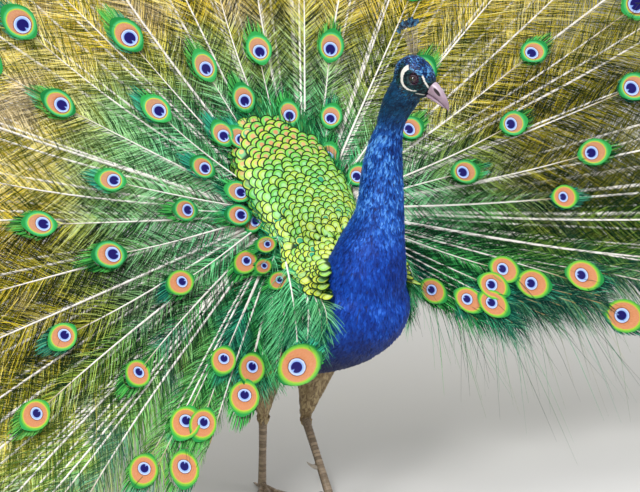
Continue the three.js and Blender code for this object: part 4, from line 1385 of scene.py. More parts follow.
def grow_feather(quills, barbs, share, place, reach, out, kind, eye=0.0, low=0.0, heavy=1.0,
                 wanted=None, pale=0.0, bent=None):
    """One train feather along place(metres out), up to reach: its quill and loose barbs.

    low is 1 for the lowest feathers, whose barbs are short, green and hang; wanted picks barbs by
    their middles and tips, pale makes them lighter, and bent is another way for the eyespot to point.
    """
    rows = np.linspace(0.0, reach, 12)
    thick = read_off(rows / reach, QUILL_RADIUS) * read_off(reach, QUILL_BY_REACH)
    quills.add(stems(place(rows)[None], thick[None], out), [[share, 0.5]], 0.004, tone=[rng.random()])
    start = reach * read_off(reach, BARE_SHAFT)
    end = reach - (0.012 if kind else -0.004)
    count = 2 * max(1, int((end - start) / BARB_SPACING * heavy))
    side = np.repeat([-1.0, 1.0], count // 2)
    t = np.tile(np.linspace(0, 1, count // 2), 2) + rng.uniform(-0.5, 0.5, count) / count
    t = np.clip(t, 0, 1)
    root = place(start + (end - start) * t)
    along = unit(place(start + (end - start) * t + 0.008) - root)
    across = unit(np.cross(along, out)) * side[:, None]
    angle = np.radians(read_off(t, BARB_ANGLE) + rng.normal(0, 5, count))
    length = read_off(t, BARBS_TO_EYE if kind else BARBS_TO_TIP) * read_off(reach, BARBS_BY_REACH) \
        * rng.uniform(0.7, 1.25, count) * (1 - 0.25 * low)
    # a few barbs on the lower side of low feathers hang far down
    stray = (rng.random(count) < STRAY_SHARE * low * (reach > 0.3)) \
        & (side * across_low(place, reach, out) > 0)
    length = np.where(stray, length * rng.uniform(1.8, 3.0, count), length)
    sag = 0.14 + 0.20 * low + 0.60 * stray
    if not kind:
        angle = np.where(t > 0.9, np.radians(rng.uniform(8, 52, count)), angle)
    # dark barbs lie in front of bright ones, and none over the eyespot
    dark = rng.random(count) < DARK_SHARE
    behind = 0.25 * np.clip((t - 0.75) / 0.2, 0, 1) * bool(kind)
    tilt = rng.normal(0.03, 0.07, count) + np.where(dark, 0.12, -0.06) - behind
    way = unit(along * np.cos(angle)[:, None] + across * np.sin(angle)[:, None] + out * tilt[:, None])
    curl = along * (0.24 * length)[:, None] - UP * (sag * length)[:, None] \
        + rng.normal(0, 0.07, (count, 3)) * (length * (1 + 3.0 * stray))[:, None]
    near_eye = np.maximum(np.clip((t - 0.90) / 0.10, 0, 1) * kind, low * np.clip(t * 1.5, 0.3, 0.9))
    tone = np.clip(np.where(dark, rng.normal(DARK_TONE + pale, 0.09, count),
                            rng.normal(rng.normal(BRIGHT_TONE, 0.10) + pale, 0.20, count)), 0, 1)
    home = np.stack([share + side * 0.012, 0.02 + 0.96 * t], 1)
    if wanted:
        run = way * length[:, None]
        keep = wanted(root + run * 0.6 + curl * 0.36, root + run + curl)
        root, way, curl, length, home, tone, near_eye = (
            a[keep] for a in (root, way, curl, length, home, tone, near_eye))
    barbs.add(ribbons(root, way, curl, length, out), home, tone=tone,
              glow=near_eye * rng.uniform(0.5, 1.0, len(root)))
    return frame_eyespot(barbs, share, place, reach, out, eye, bent) if kind else None


EYE_BARBS = 130


def frame_eyespot(barbs, share, place, reach, out, eye, bent):
    """Short emerald barbs that frame an eyespot and sweep towards the tip, and where it lies."""
    end = place(np.array([reach]))[0]
    axis = unit(place(np.array([reach + 0.004]))[0] - end) if bent is None else bent
    centre = end + axis * eye * 0.06
    over = unit(np.cross(axis, out))
    wide, tall = eye / 2, eye / 2 * EYE_LONG
    turn = np.linspace(-math.pi, math.pi, EYE_BARBS, endpoint=False) + rng.normal(0, 0.04, EYE_BARBS)
    s, c = np.sin(turn)[:, None], np.cos(turn)[:, None]
    inset = rng.uniform(0.80, 0.94, EYE_BARBS)[:, None]
    root = centre + over * s * wide * inset + axis * c * tall * inset - out * 0.0012
    way = unit(over * s * 0.55 + axis * (0.65 + 0.35 * c) + out * rng.normal(0, 0.08, EYE_BARBS)[:, None])
    # those at the outer end are longest
    length = wide * rng.uniform(0.25, 0.50, EYE_BARBS) * (1 + 1.5 * np.maximum(c[:, 0], 0.0) ** 4)
    length = length * (1.0 if bent is None else 0.35)
    curl = (axis * 0.25 - over * s * 0.30) * length[:, None]
    home = np.stack([np.full(EYE_BARBS, share), np.linspace(0.97, 0.99, EYE_BARBS)], 1)
    barbs.add(ribbons(root, way, curl, length, out, 1.8), home, tone=rng.random(EYE_BARBS),
              glow=rng.uniform(0.8, 1.0, EYE_BARBS))
    return centre, axis, wide, tall, out


def across_low(place, reach, out):
    """+1 or -1: the side of a feather that looks down."""
    ends = place(np.array([reach * 0.4, reach * 0.9]))
    return -np.sign(np.cross(ends[1] - ends[0], out)[2])


def ribbons(root, way, curl, length, out, wider=1.0):
    """Single barbs: narrow curved ribbons that draw to a point, cut short where the room ends."""
    count = len(root)
    u = np.array([0.0, 0.38, 0.72, 1.0])
    taper = np.array([0.9, 1.0, 0.75, 0.2]) * BARB_HALF_WIDTH * wider
    run = way * length[:, None]
    full = run + curl
    room = np.where(full > 0, ROOM[1] - root, ROOM[0] - root) / np.where(np.abs(full) < 1e-6, 1e-6, full)
    cut = np.clip(room.min(1), 0.05, 1.0)[:, None, None]
    points = root[:, None] + (run[:, None] * u[:, None] + curl[:, None] * (u ** 2)[:, None]) * cut
    edge = unit(np.cross(way, out + rng.normal(0, 0.45, (count, 3))))[:, None] * taper[None, :, None]
    flat = np.empty((count, 4, 2, 2))
    flat[..., 0] = np.array([0.0, 1.0])
    flat[..., 1] = u[:, None]
    return np.stack([points - edge, points + edge], 2), flat


def fan_feather(r_eye, deg):
    """Where one feather of the spread train runs."""
    off = layer(r_eye) + rng.uniform(-0.002, 0.002)
    bow = rng.uniform(-1.2, 1.2)
    reach = r_eye - QUILL_START

    def place(s):
        t = np.sin(math.pi * np.clip(s / reach, 0, 1))
        return fan(QUILL_START + s, deg + bow * t, off - 0.006 * t)
    return place, reach


def above_edge(far_side, eye=None):
    """Picks the barbs outside a wing: none that hangs past its edge, or lies over the large eye."""
    def wanted(middle, tip):
        if far_side:
            middle, tip = mirrored(middle), mirrored(tip)
        x, y = in_frame(tip)
        fine = (y < read_off(x, APRON_EDGE)) | (x > APRON_END)
        if eye is not None and not far_side:
            off = middle - eye
            off = off - (off @ VIEW_DIR)[:, None] * VIEW_DIR
            fine = fine & (np.linalg.norm(off, axis=1) > 0.036)
        return fine
    return wanted


def apron_feather(tree, start, end, far_side, proud, straight_out):
    """Where one feather runs that hangs outside a wing."""
    t = np.linspace(0, 1, 16)
    x = start[0] + (end[0] - start[0]) * t + 3.0 * np.sin(math.pi * t)
    y = start[1] + (end[1] - start[1]) * t
    ray = sight_lines(x, y)
    far = depths(tree, ray, 0.0)
    far = np.interp(t, t[far > 0], far[far > 0])
    for _ in range(6):
        far = np.minimum(far, np.convolve(np.pad(far, 1, mode="edge"), [0.25, 0.5, 0.25], "valid"))
    if straight_out:
        line = np.polyval(np.polyfit(t, far, 1), t)
        far = line + min(0.0, (far - line)[t < 0.85].min())
    # it comes out from under the scales, then hangs a little proud
    far = far - read_off(t, [(0, -0.006), (0.10, -0.002), (0.14, 0.004)])
    points = VIEW_FROM + ray * (far - proud * np.sin(math.pi * np.minimum(t * 1.4, 0.5)))[:, None]
    if far_side:
        points = mirrored(points)
    step = np.concatenate([[0], np.cumsum(np.linalg.norm(np.diff(points, axis=0), axis=1))])

    def place(s):
        s = np.asarray(s, float)
        inside = np.stack([np.interp(s, step, points[:, k]) for k in range(3)], -1)
        return inside + unit(points[-1] - points[-3]) * np.maximum(s - step[-1], 0)[..., None]
    return place, step[-1]


def grow_apron(quills, barbs, tree, far_side):
    """The low feathers in front of one wing. Returns their eyespots.

    On the far side they are shorter, and the large eyespot isn't repeated there.
    """
    out = -VIEW_DIR - (across_bird(-VIEW_DIR) if far_side else 0)
    grown, shown_eye = [], None
    for n, (start, end, size) in enumerate(APRON):
        large = size > LARGE_EYE
        place, reach = apron_feather(tree, start, end, far_side, 0.022 if large else 0.010, size > 0)
        if far_side and (large or not size):
            reach *= 0.42
        if large:
            shown_eye = place(np.array([reach]))[0]
        eye = 0 if far_side and large else size
        grown.append(grow_feather(
            quills, barbs, (n + 0.5) / len(APRON), place, reach, out, eye > 0, eye, low=0.30, heavy=1.5,
            wanted=above_edge(far_side, None if size else shown_eye), pale=0.14,
            bent=LARGE_EYE_WAY if large else None))
    return grown


TRAIN_GROUPS = 6


def grow_train():
    """The train's quills, barbs and eyespots. Near feathers share a piece, which stands for the
    sectors that it covers."""
    feathers = train_feathers()
    barb, quill, spot = barb_finish(), quill_finish(), eyespot_finish()
    edges = np.linspace(-LIMIT - 4, LIMIT + 4, TRAIN_GROUPS + 1)
    sectors = np.linspace(-LIMIT, LIMIT, TRAIN_SECTORS)
    body = node_tree(["wing_right", "trunk", "mantle", "thigh_right"])
    spots, lowness = [], []
    quills = Planting()
    for g in range(TRAIN_GROUPS):
        mine = [f for f in feathers if edges[g] <= f[1] < edges[g + 1]]
        barbs = Planting()
        for n, (r, deg, kind) in enumerate(mine):
            place, reach = fan_feather(r, deg)
            low = read_off(abs(deg), [(98, 0.0), (114, 1.0)]) * read_off(reach, [(0.55, 1.0), (0.95, 0.6)])
            spots.append(grow_feather(
                quills, barbs, (n + 0.5) / len(mine), place, reach, FAN_OUT, kind,
                read_off(r, EYE_WIDTHS) * kind, low, heavy=1 + 0.3 * low + 0.5 * (deg > 120),
                wanted=above_edge(False) if deg < -95 else None))
            lowness.append((abs(deg) - 92) / 14)
        if g in (0, TRAIN_GROUPS - 1):
            spots += grow_apron(quills, barbs, body, g > 0)
            lowness += [1.0] * len(APRON)
        nodes = [f"train_{k + 1:02d}" for k, mid in enumerate(sectors)
                 if edges[g] <= min(max(mid, edges[0]), edges[-1] - 0.01) < edges[g + 1]]
        barbs.piece(f"train_barbs_{g + 1}", barb, "train_plumage", nodes)
    quills.piece("train_quills", quill, "train_plumage")
    lowness = np.clip([low for low, found in zip(lowness, spots) if found], 0, 1)
    centre, axis, wide, tall, out = (np.array(x) for x in zip(*filter(None, spots)))
    count = len(centre)
    t = (1 - np.cos(np.linspace(0, math.pi, 10))) / 2
    round_out = np.maximum(0.0, 1 - (2 * t - 1) ** 2)
    outline = np.stack([t, 0.6 * np.sqrt(round_out) + 0.4 * np.sin(math.pi * t)], 1)
    over = np.cross(axis, out)
    axis = unit(axis + out * rng.normal(0, 0.08, count)[:, None]
                + over * rng.normal(0, 0.10, count)[:, None])
    made = vanes(centre - axis * tall[:, None] + out * 0.0050, axis,
                 out + over * rng.normal(0, 0.10, count)[:, None],
                 2 * tall, wide, outline, lift=0.02 * round_out, arch=-0.06, columns=9)
    large_vanes(made, "train_eyespots", spot, "train_plumage", tone=rng.random(count), glow=lowness)


# ---------------- wings, tail and crest
LONG_FEATHER = [(0.0, 0.30), (0.12, 0.75), (0.35, 0.95), (0.65, 1.0), (0.86, 0.85), (0.96, 0.50),
                (1.0, 0.12)]
LONG_LIFT = [0.0, 0.006, 0.010, 0.008, 0.0, -0.006, -0.010]


def on_wing(tree, side, fore, high):
    """Where the outside of a wing is at these places, and its normal."""
    places, normals = [], []
    for u, z in zip(fore, high):
        start = Vector(bird(u, side * 0.6, z))
        hit, normal, _, _ = tree.ray_cast(start, Vector(-side * LEFT))
        if hit is None:
            hit, normal, _, _ = tree.find_nearest(Vector(bird(u, side * 0.12, z)))
        places.append(hit)
        normals.append(normal if normal @ Vector(side * LEFT) > 0 else -normal)
    return np.array(places), np.array(normals)


# the wings' upper and lower edges, (fore, high) in metres
WING_TOP = [(-0.096, 0.206), (-0.078, 0.262), (-0.050, 0.322), (-0.010, 0.388), (0.045, 0.420),
            (0.105, 0.440), (0.165, 0.442), (0.208, 0.418)]
WING_LOW = [(-0.096, 0.150), (-0.078, 0.158), (-0.050, 0.178), (-0.010, 0.205), (0.045, 0.238),
            (0.105, 0.262), (0.165, 0.300), (0.208, 0.350)]


# the wings' two layers: label, whether chestnut, front end, upper and lower end as shares of the
# wing's height, spacing, and the feathers' length and half width
WING_LAYERS = [("coverts", False, 0.204, 0.0, 0.62, 0.0105, 0.042, 0.0105),
               ("primaries", True, 0.150, 0.50, 0.96, 0.0150, 0.120, 0.0085)]
WING_REAR = -0.086
WING_HUNG = [(331, 366), (350, 359), (371, 349), (395, 337), (408, 325)]      # the breast's low edge


def dress_wings():
    """Barred shoulder feathers over chestnut primaries, greener where the train's feathers lie."""
    for label, chestnut, front, top, bottom, spacing, length, width in WING_LAYERS:
        finish = wing_finish(f"wing {label}", chestnut)
        for side, name in ((1, "left"), (-1, "right")):
            tree = node_tree([f"wing_{name}"])
            u, v = np.meshgrid(np.arange(WING_REAR, front, spacing * 0.8),
                               np.arange(top, bottom, spacing / 0.20))
            u = u + (np.arange(v.shape[0]) % 2)[:, None] * spacing * 0.4
            u = u.ravel() + rng.uniform(-0.0015, 0.0015, u.size)
            v = v.ravel() + rng.uniform(-0.01, 0.01, v.size)
            z = read_off(u, WING_TOP) + (read_off(u, WING_LOW) - read_off(u, WING_TOP)) * v
            places, normals = on_wing(tree, side, u, z)
            count = len(places)
            way = np.broadcast_to(-FORE * 0.85 - UP * 0.55 + side * LEFT * 0.2, normals.shape)
            way = unit(unit(flattened(way, normals)) + normals * 0.10)
            # none runs past the wing's end or its lower edge
            long = np.minimum(length * rng.uniform(0.9, 1.1, count), np.clip(u + 0.131, 0.03, 1))
            long = np.minimum(long, (z - read_off(u, WING_LOW)) * 1.6 + 0.022)
            x, y = in_frame(on_near_side(places))
            green = np.clip((313 - x) / 6, 0, 1) * np.clip((x - 248) / 14, 0, 1) \
                * np.clip((345 - y) / 20, 0, 1)
            keep = np.ones(count, bool)
            if side > 0:
                # on the far side none shows under the breast
                tip_x, tip_y = in_frame(places + way * long[:, None])
                keep = (tip_x <= 325) | (tip_x >= 415) | (tip_y <= read_off(tip_x, WING_HUNG))
            many = keep.sum()
            root = places + normals * (0.0006 - 0.0030 * under_shield(x, y))[:, None]
            made = vanes(root[keep], way[keep], normals[keep], long[keep], width, LONG_FEATHER,
                         lift=LONG_LIFT, arch=0.16, columns=5, sweep=rng.normal(0, 0.03, many))
            large_vanes(made, f"wing_{label}_{name}", finish, "wing_plumage",
                        [] if chestnut else [f"wing_{name}"], rng.random(many), green[keep], 0.0004)


TAIL_FEATHERS = 20
TAIL_HALF_SPREAD = 56     # degrees
TAIL_LENGTH = 0.365
TAIL_DROOP = 0.048        # how far a feather's tip curves down, for each metre of its length


def dress_tail():
    """Stiff brown feathers that prop the train from behind, and their quills."""
    brown = plain_feather_finish("tail feathers", (0.10, 0.065, 0.04), (0.30, 0.20, 0.12))
    out = np.array([0.0, math.sin(TAIL_LEAN), math.cos(TAIL_LEAN)])
    deg = np.linspace(-TAIL_HALF_SPREAD, TAIL_HALF_SPREAD, TAIL_FEATHERS)
    a = np.radians(deg)
    way = np.sin(a)[:, None] * FAN_SIDE + np.cos(a)[:, None] * out
    root = TAIL_ROOT + FAN_SIDE * (np.sin(a) * 0.010)[:, None] + way * 0.035
    up = np.broadcast_to(np.cross(FAN_SIDE, out), way.shape)
    root = root + up * (0.0022 * (np.arange(TAIL_FEATHERS) % 2) - 0.0011)[:, None]
    length = TAIL_LENGTH * (1 - 0.12 * (deg / 58) ** 2)
    made = vanes(root, way, up, length, 0.021, LONG_FEATHER,
                 lift=[-TAIL_DROOP * at ** 2 for at, _ in LONG_FEATHER], arch=0.10, columns=5)
    large_vanes(made, "tail_feathers", brown, "tail_plumage", ["tail"], rng.random(TAIL_FEATHERS),
                thickness=0.0006)
    t = np.linspace(0, 0.97, 8)
    path = root[:, None] + way[:, None] * (length[:, None] * t)[..., None] \
        + up[:, None] * (-TAIL_DROOP * t ** 2 * length[:, None] + 0.0025)[..., None]
    radii = np.broadcast_to(np.linspace(0.0018, 0.0006, 8), (TAIL_FEATHERS, 8))
    large_vanes(stems(path, radii, out + FAN_OUT * 0.3), "tail_quills", quill_finish(), "tail_plumage",
                tone=rng.random(TAIL_FEATHERS))


CREST_SHAFTS = 18
CREST_HAIRS = 5           # short hairs low on each shaft
CREST_BARBS = 15          # in each fan
CREST_BARB = [(0.0, 0.35), (0.5, 0.9), (0.85, 1.0), (1.0, 0.3)]


def dress_crest():
    """Bare shafts with blue fans at their tips."""
    shaft = plain_feather_finish("crest shafts", (0.16, 0.12, 0.09), (0.55, 0.48, 0.40))
    # the fans are dark navy; the light blue mottled over them is painted glints
    fans = plain_feather_finish("crest fans", (0.001, 0.004, 0.030), (0.10, 0.36, 0.66), metallic=0.3,
                                start=0.42)
    count = CREST_SHAFTS
    t = np.linspace(0, 1, count)
    side = np.where(np.arange(count) % 2, 1.0, -1.0)
    root = on_head(-0.027 + 0.012 * t, 0.0285, side * 0.0016)
    tip = on_head(-0.062 + 0.020 * t + rng.normal(0, 0.002, count),
                  0.045 + 0.026 * t + 0.005 * np.sin(math.pi * t) + rng.normal(0, 0.002, count),
                  side * (0.0015 + 0.007 * rng.random(count)))
    way = unit(tip - root)
    s = np.linspace(0, 1, 6)[None, :, None]
    path = root[:, None] * (1 - s) + tip[:, None] * s + HEAD_UP * 0.016 * (s * (1 - s))
    quills = Planting()
    home, size = atlas(count)
    quills.add(stems(path, np.broadcast_to(np.linspace(0.00032, 0.00020, 6), (count, 6)), HEAD_LEFT),
               home, size, tone=rng.random(count))
    many = count * CREST_HAIRS
    at = rng.uniform(0.05, 0.8, (count, CREST_HAIRS))
    base = (root[:, None] + (tip - root)[:, None] * at[..., None]).reshape(-1, 3) + HEAD_UP * 0.0015
    hair_way = unit(np.repeat(way, CREST_HAIRS, 0) + rng.normal(0, 0.5, (many, 3)))
    quills.add(vanes(base, hair_way, HEAD_LEFT + rng.normal(0, 0.3, (many, 3)), 0.0055, 0.0003,
                     HAIRY_FEATHER), np.repeat(home, CREST_HAIRS, 0), tone=rng.random(many))
    quills.piece("crest_shafts", shaft, "crest_plumage", ["crest"])
    many = count * CREST_BARBS
    spread = np.radians(np.linspace(-58, 58, CREST_BARBS))[None, :, None]
    across = unit(np.cross(way, HEAD_LEFT) + rng.normal(0, 0.35, (count, 3)))
    normal = unit(np.cross(across, way))
    out = way[:, None] * np.cos(spread) + across[:, None] * np.sin(spread)
    length = 0.0080 * (1 - 0.25 * np.abs(np.linspace(-1, 1, CREST_BARBS)))[None] \
        * rng.uniform(0.85, 1.15, (count, CREST_BARBS))
    made = vanes(np.repeat(tip - way * 0.0035, CREST_BARBS, 0), out.reshape(-1, 3),
                 np.repeat(normal, CREST_BARBS, 0), length.ravel(), 0.0011, CREST_BARB, arch=0.2)
    planting = Planting()
    planting.add(made, np.repeat(home, CREST_BARBS, 0) + rng.uniform(-0.05, 0.05, (many, 2)), 0.006,
                 tone=rng.random(many))
    planting.piece("crest_fans", fans, "crest_plumage")


# ---------------- bill and eyes
BILL_TOP = [(0.0335, 0.0170, -0.0044, 0.0090), (0.0346, 0.0166, -0.0040, 0.0084),
            (0.0380, 0.0166, -0.0036, 0.0080), (0.0420, 0.0156, -0.0031, 0.0074),
            (0.0460, 0.0146, -0.0029, 0.0069), (0.0500, 0.0134, -0.0027, 0.0064),
            (0.0540, 0.0120, -0.0028, 0.0058), (0.0580, 0.0102, -0.0030, 0.0052),
            (0.0620, 0.0082, -0.0034, 0.0045), (0.0650, 0.0060, -0.0038, 0.0039),
            (0.0685, 0.0036, -0.0045, 0.0031), (0.0710, 0.0012, -0.0052, 0.0024),
            (0.0732, -0.0014, -0.0062, 0.0016), (0.0746, -0.0034, -0.0072, 0.0010)]
BILL_LOW = [(0.0335, -0.0045, -0.0116, 0.0074), (0.0390, -0.0040, -0.0102, 0.0068),
            (0.0440, -0.0036, -0.0094, 0.0063), (0.0490, -0.0034, -0.0088, 0.0057),
            (0.0540, -0.0033, -0.0083, 0.0050), (0.0580, -0.0036, -0.0081, 0.0043),
            (0.0620, -0.0040, -0.0079, 0.0036), (0.0650, -0.0045, -0.0077, 0.0027),
            (0.0675, -0.0050, -0.0073, 0.0018)]


BILL_SIDES = 28
CERE = (0.0425, 0.0085)                # the swollen cere's middle, along and above
NOSTRIL = (0.0470, 0.0082, -0.28)      # the nostril's middle and its slope


def bill_half(rows, tip, upper):
    """Fills a shape with half a bill: rows of (along, high, low, half width), then its tip."""
    def shape_it(shape):
        rings = []
        for along, high, low, half in rows:
            ring = []
            for n in range(BILL_SIDES):
                c, s = math.cos(2 * math.pi * n / BILL_SIDES), math.sin(2 * math.pi * n / BILL_SIDES)
                # rounder outside than where the two halves meet
                wide, tall = (0.85, 1.15) if (s > 0) == upper else (0.55, 0.8)
                x = half * math.copysign(abs(c) ** wide, c)
                y = (high + low) / 2 + (high - low) / 2 * math.copysign(abs(s) ** tall, s)
                ring.append(Vector(on_head(along, y, x)))
            rings.append(ring)
        middle = Vector(on_head(along, (high + low) / 2, 0))
        rings.append([Vector(on_head(*tip, 0)) + (p - middle) * 0.25 for p in ring])
        loft(shape, rings)
        for vert in shape.verts if upper else ():
            along, above, beside = from_head(np.array(vert.co))
            swell = math.exp(-((along - CERE[0]) / 0.0045) ** 2 - ((above - CERE[1]) / 0.0040) ** 2)
            slope = above - NOSTRIL[1] - (along - NOSTRIL[0]) * NOSTRIL[2]
            slot = math.exp(-((along - NOSTRIL[0]) / 0.0045) ** 2 - (slope / 0.0018) ** 2)
            out = (0.0006 * swell - 0.0014 * slot) * min(1, abs(beside) / 0.003)
            vert.co += Vector(HEAD_LEFT * math.copysign(1, beside) * out)
    return shape_it


def dress_bill():
    """Horn over the upper and the lower bill, with the nostrils' slots."""
    horn = Finish("bill horn", roughness=0.34, coat=0.35, coat_roughness=0.25)
    along, above, _ = head_masks(horn)
    fine = horn.speckle(160.0, 3.0)
    streak = horn.noise(horn.stretch(horn.place(), (1.0, 1.0, 3.0)), 60.0, 2.0)
    base = horn.mix(streak, (0.20, 0.115, 0.17), (0.40, 0.28, 0.36))
    # the nostril's slot is painted near-black: painted shade in its groove
    slope = above - NOSTRIL[1] - (along - NOSTRIL[0]) * NOSTRIL[2]
    slot = (((along - NOSTRIL[0]) / 0.0078) ** 2 + (slope / 0.0026) ** 2).root().step(1.10, 0.75)
    # lighter along the top of the bill: a painted highlight
    horn.set("Base Color", horn.over(
        base, (above.step(0.008, 0.015) * 0.5, (0.60, 0.49, 0.57)),
        (along.step(0.056, 0.073) * 0.75, (0.20, 0.11, 0.16)), (fine * 0.2, (0.62, 0.52, 0.56)),
        (slot, (0.02, 0.012, 0.014))))
    horn.bump(fine, 0.15, 0.0004)
    for node, rows, tip, upper in (("bill_upper", BILL_TOP, (0.0756, -0.0074), True),
                                   ("bill_lower", BILL_LOW, (0.0686, -0.0066), False)):
        solid_piece(bill_half(rows, tip, upper), f"{node}_horn", horn, [node], levels=1)


CORNEA_RISE, CORNEA_REACH = 0.0007, 0.0034
LID_RADIUS, LID_REACH = 0.0009, 0.0063


def dress_eyes():
    """Dark brown eyeballs with a bulging cornea, and the skin of the lids round them."""
    ball = Finish("eyeball", roughness=0.04, coat=1.0, coat_roughness=0.02)
    rim = Finish("eyelid skin", roughness=0.5)
    wrinkle = rim.speckle(700.0, 3.0)
    rim.set("Base Color", rim.mix(wrinkle.step(0.35, 0.7), (0.006, 0.004, 0.008), (0.11, 0.05, 0.085)))
    rim.bump(wrinkle, 0.6, 0.0006)
    iris = ball.mix(ball.speckle(900.0), (0.012, 0.004, 0.004), (0.040, 0.013, 0.010))
    colour = (0.012, 0.007, 0.005)
    for name, side in (("left", 1), ("right", -1)):
        centre = on_head(EYE_AT[0], EYE_AT[1], side * EYE_AT[2])
        look = unit(HEAD_LEFT * side + HEAD_AXIS * 0.22 + HEAD_UP * 0.02)
        put = Matrix.Translation(centre) @ Vector(look).to_track_quat("Z", "Y").to_matrix().to_4x4()

        def eyeball(shape):
            bmesh.ops.create_uvsphere(shape, u_segments=36, v_segments=24, radius=EYE_RADIUS)
            for vert in shape.verts:
                off = math.hypot(vert.co.x, vert.co.y)
                if vert.co.z > 0:
                    vert.co.z += CORNEA_RISE * max(0.0, 1 - (off / CORNEA_REACH) ** 2)
            bmesh.ops.transform(shape, verts=shape.verts, matrix=put)

        def lids(shape):
            bmesh.ops.create_circle(shape, cap_ends=False, radius=LID_RADIUS, segments=10)
            bmesh.ops.rotate(shape, verts=shape.verts, matrix=Matrix.Rotation(math.pi / 2, 3, "X"))
            bmesh.ops.translate(shape, verts=shape.verts, vec=(LID_REACH, 0, 0))
            bmesh.ops.spin(shape, geom=shape.verts[:] + shape.edges[:], axis=(0, 0, 1), cent=(0, 0, 0),
                           angle=2 * math.pi, steps=40, use_merge=True, use_duplicate=False)
            for vert in shape.verts:
                vert.co.y *= 0.88
                off = math.hypot(vert.co.x, vert.co.y)
                vert.co.z += math.sqrt((EYE_RADIUS + 0.0002) ** 2 - min(off, 0.0066) ** 2)
            bmesh.ops.transform(shape, verts=shape.verts, matrix=put)

        solid_piece(eyeball, f"eyeball_{name}", ball, [f"eye_{name}"])
        solid_piece(lids, f"eyelids_{name}", rim, levels=1)
        # iris and pupil: how far a place is from the line that the eye looks along
        front = ball.past(look, centre)
        out = (ball.gap(centre) ** 2 - front * front).most(0.0).root()
        eye = ball.mix(out.step(0.0046, 0.0056), iris, (0.006, 0.003, 0.004))
        eye = ball.mix(out.step(0.0031, 0.0028), eye, (0.001, 0.001, 0.001))
        colour = ball.mix(front.step(0.003, 0.0035), colour, eye)
    ball.set("Base Color", colour)


# ---------------- legs
LEGS = {"left": dict(side=1, hock=(-0.041, 0.040, 0.116), foot=(0.064, 0.030), aim=6),
        "right": dict(side=-1, hock=(-0.027, -0.050, 0.141), foot=(-0.030, -0.050), aim=-8)}
# each toe: its angle from the way the leg aims, its length and its radius
TOES = [(-34, 0.056, 0.0046), (2, 0.078, 0.0052), (38, 0.060, 0.0046), (186, 0.026, 0.0038)]
CLAW = 0.0165             # length of a claw, with its root inside the toe
SPUR = [(0.0045, 0, 0.0047), (0.012, 0, 0.0036), (0.017, 0.0012, 0.0030), (0.021, 0.003, 0.0022),
        (0.0245, 0.0052, 0.0013), (0.0275, 0.0074, 0.0004)]      # (back, up, radius) along a spur
TARSUS_RADIUS = 0.0074


SCUTE_LIFT = 0.0004
SCUTE_COLUMNS = 9


def along_path(path, at):
    """Places at these shares of a path."""
    line = np.linspace(0, 1, len(path))
    return np.stack([np.interp(at, line, path[:, k]) for k in range(3)], 1)


def scute_rows(path, radius, count, height, wrap, up, planting, home):
    """Overlapping horny plates that wrap round the up side of a limb, from its start down."""
    seg = np.linspace(0, 1, count)
    rad = np.interp(seg, np.linspace(0, 1, len(path)), radius)
    ahead = unit(along_path(path, np.minimum(seg + 0.02, 1)) - along_path(path, np.maximum(seg - 0.02, 0)))
    side = unit(np.cross(ahead, up))
    over = np.cross(side, ahead)
    turn = np.radians(np.linspace(-wrap, wrap, SCUTE_COLUMNS))
    t = np.array([0.0, 0.55, 0.92, 1.0])
    proud = np.array([-0.2, 0.7, 1.0, 0.3]) * SCUTE_LIFT
    ring = np.sin(turn)[:, None] * side[:, None, None] + np.cos(turn)[:, None] * over[:, None, None]
    r = rad[:, None, None, None] + proud[:, None, None] \
        - np.abs(turn / turn[-1])[:, None] ** 4 * SCUTE_LIFT * 1.4
    points = along_path(path, seg)[:, None, None] + ring * r \
        + ahead[:, None, None] * (height * t)[:, None, None]
    flat = np.empty(points.shape[:3] + (2,))
    flat[..., 0] = np.linspace(0, 1, SCUTE_COLUMNS)
    flat[..., 1] = t[:, None]
    planting.add((points, flat), np.stack([np.full(count, home), 0.02 + 0.96 * seg], 1), 0.012,
                 tone=rng.random(count))


def tapered(shape, path, radii, sides):
    """A round horn along a path."""
    path = [Vector(p) for p in path]
    rings = []
    for n, (p, r) in enumerate(zip(path, radii)):
        ahead = (path[min(n + 1, len(path) - 1)] - path[max(n - 1, 0)]).normalized()
        side = ahead.cross(Vector(UP)).normalized() if abs(ahead.z) < 0.95 else Vector(LEFT)
        over = side.cross(ahead)
        rings.append([p + side * (r * math.cos(2 * math.pi * k / sides))
                      + over * (r * math.sin(2 * math.pi * k / sides)) for k in range(sides)])
    loft(shape, rings)


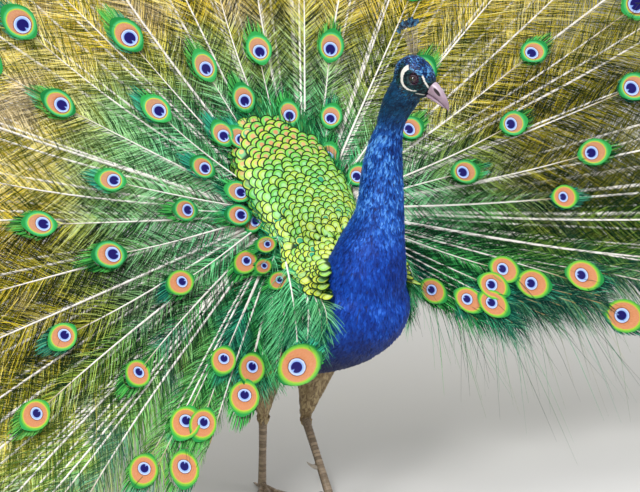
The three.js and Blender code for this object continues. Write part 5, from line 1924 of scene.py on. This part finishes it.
def dress_legs():
    """Scutes round the shanks and the toes, claws and a spur on each leg."""
    scutes = scute_finish()
    claw = horn_finish("claw horn", (0.05, 0.04, 0.035), (0.14, 0.11, 0.09))
    spur = horn_finish("spur horn", (0.30, 0.25, 0.20), (0.55, 0.48, 0.40))
    for name, leg in LEGS.items():
        planting = Planting()
        hock = bird(*leg["hock"])
        ground = bird(*leg["foot"], 0.0)
        ankle = ground + UP * 0.009 - FORE * 0.003
        shank = ankle - hock
        fore, _ = turned(BODY_TURN + math.radians(leg["aim"]))
        radius = TARSUS_RADIUS - np.array([0, 0.0007, 0.0003, 0])
        path = np.array([hock + unit(shank) * 0.016, hock + shank * 0.5, hock + shank * 0.8,
                         ankle - unit(shank) * 0.004])
        scute_rows(path, radius, 26, 0.0058, 82, fore, planting, 0.15)
        scute_rows(path, radius, 34, 0.0040, 62, -fore, planting, 0.30)
        claws = []
        for n, (angle, length, r) in enumerate(TOES):
            way, _ = turned(BODY_TURN + math.radians(leg["aim"] - angle * leg["side"]))
            s = np.array([0.006, length * 0.4, length * 0.7, length])
            high = np.array([0.008, r, r - 0.0004, r - 0.0007])
            path = ground + way * s[:, None] + UP * high[:, None]
            radius = np.array([r + 0.0011, r, r * 0.9, r * 0.74]) * 0.97
            scute_rows(path, radius, int(length / 0.0034), 0.0046, 78, UP, planting, 0.45 + 0.12 * n)
            tip = ground + way * (length - 0.004) + UP * (r - 0.0004)
            claws.append((tip, way, r))
        planting.piece(f"leg_scutes_{name}", scutes, "leg_scales")

        def nails(shape):
            for tip, way, r in claws:
                path = [tip + way * CLAW * a + UP * (0.0012 * math.sin(math.pi * a) - (r - 0.0020) * a ** 2)
                        for a in (0.0, 0.25, 0.5, 0.75, 1.0)]
                tapered(shape, path, [r * 0.58, r * 0.54, r * 0.44, r * 0.27, 0.0004], sides=12)

        solid_piece(nails, f"claws_{name}", claw)
        root = ankle - shank * 0.34
        back = unit(-fore * 0.86 - LEFT * leg["side"] * 0.5)

        def spike(shape):
            tapered(shape, [root + back * d + UP * z for d, z, _ in SPUR], [r for _, _, r in SPUR], sides=16)

        solid_piece(spike, f"spur_{name}", spur, levels=1)


# ---------------- stage
FLOOR_HALF = 14.0
SKY, SKY_STRENGTH = (0.90, 0.92, 0.95, 1.0), 0.42
LAMPS_AIM = (0.0, 0.0, 0.7)
# name, place, size in metres and power in watts
LAMPS = [("key", (-2.6, -3.0, 3.7), 1.5, 200.0), ("fill", (3.2, -2.6, 2.2), 2.5, 55.0),
         ("top", (0.2, 0.3, 4.2), 3.0, 70.0), ("back", (0.6, 3.2, 2.6), 2.4, 45.0)]


def stage():
    """A pale floor, soft lamps and a pale sky."""
    floor_mesh = bmesh.new()
    bmesh.ops.create_grid(floor_mesh, x_segments=1, y_segments=1, size=FLOOR_HALF)
    mesh = bpy.data.meshes.new("floor")
    floor_mesh.to_mesh(mesh)
    floor_mesh.free()
    pale = Finish("pale floor", roughness=0.8)
    pale.set("Base Color", (0.62, 0.61, 0.59))
    mesh.materials.append(pale.material)
    floor = link("floor", mesh)
    world = bpy.context.scene.world or bpy.data.worlds.new("world")
    bpy.context.scene.world = world
    world.use_nodes = True
    back = next(n for n in world.node_tree.nodes if n.type == "BACKGROUND")
    back.inputs["Color"].default_value = SKY
    back.inputs["Strength"].default_value = SKY_STRENGTH
    for name, at, size, power in LAMPS:
        lamp = bpy.data.lights.new(name, "AREA")
        lamp.energy, lamp.size = power, size
        holder = link(name, lamp)
        holder.location = at
        holder.rotation_euler = (Vector(LAMPS_AIM) - Vector(at)).to_track_quat("-Z", "Y").to_euler()


# ---------------- build
skin, share = make_skin(skin_finish())
plant_body(skin, share)
plant_shield(skin, share)
grow_train()
dress_wings()
dress_tail()
dress_crest()
dress_bill()
dress_eyes()
dress_legs()
stage()
place_camera()
bpy.context.scene.view_settings.view_transform = "Standard"
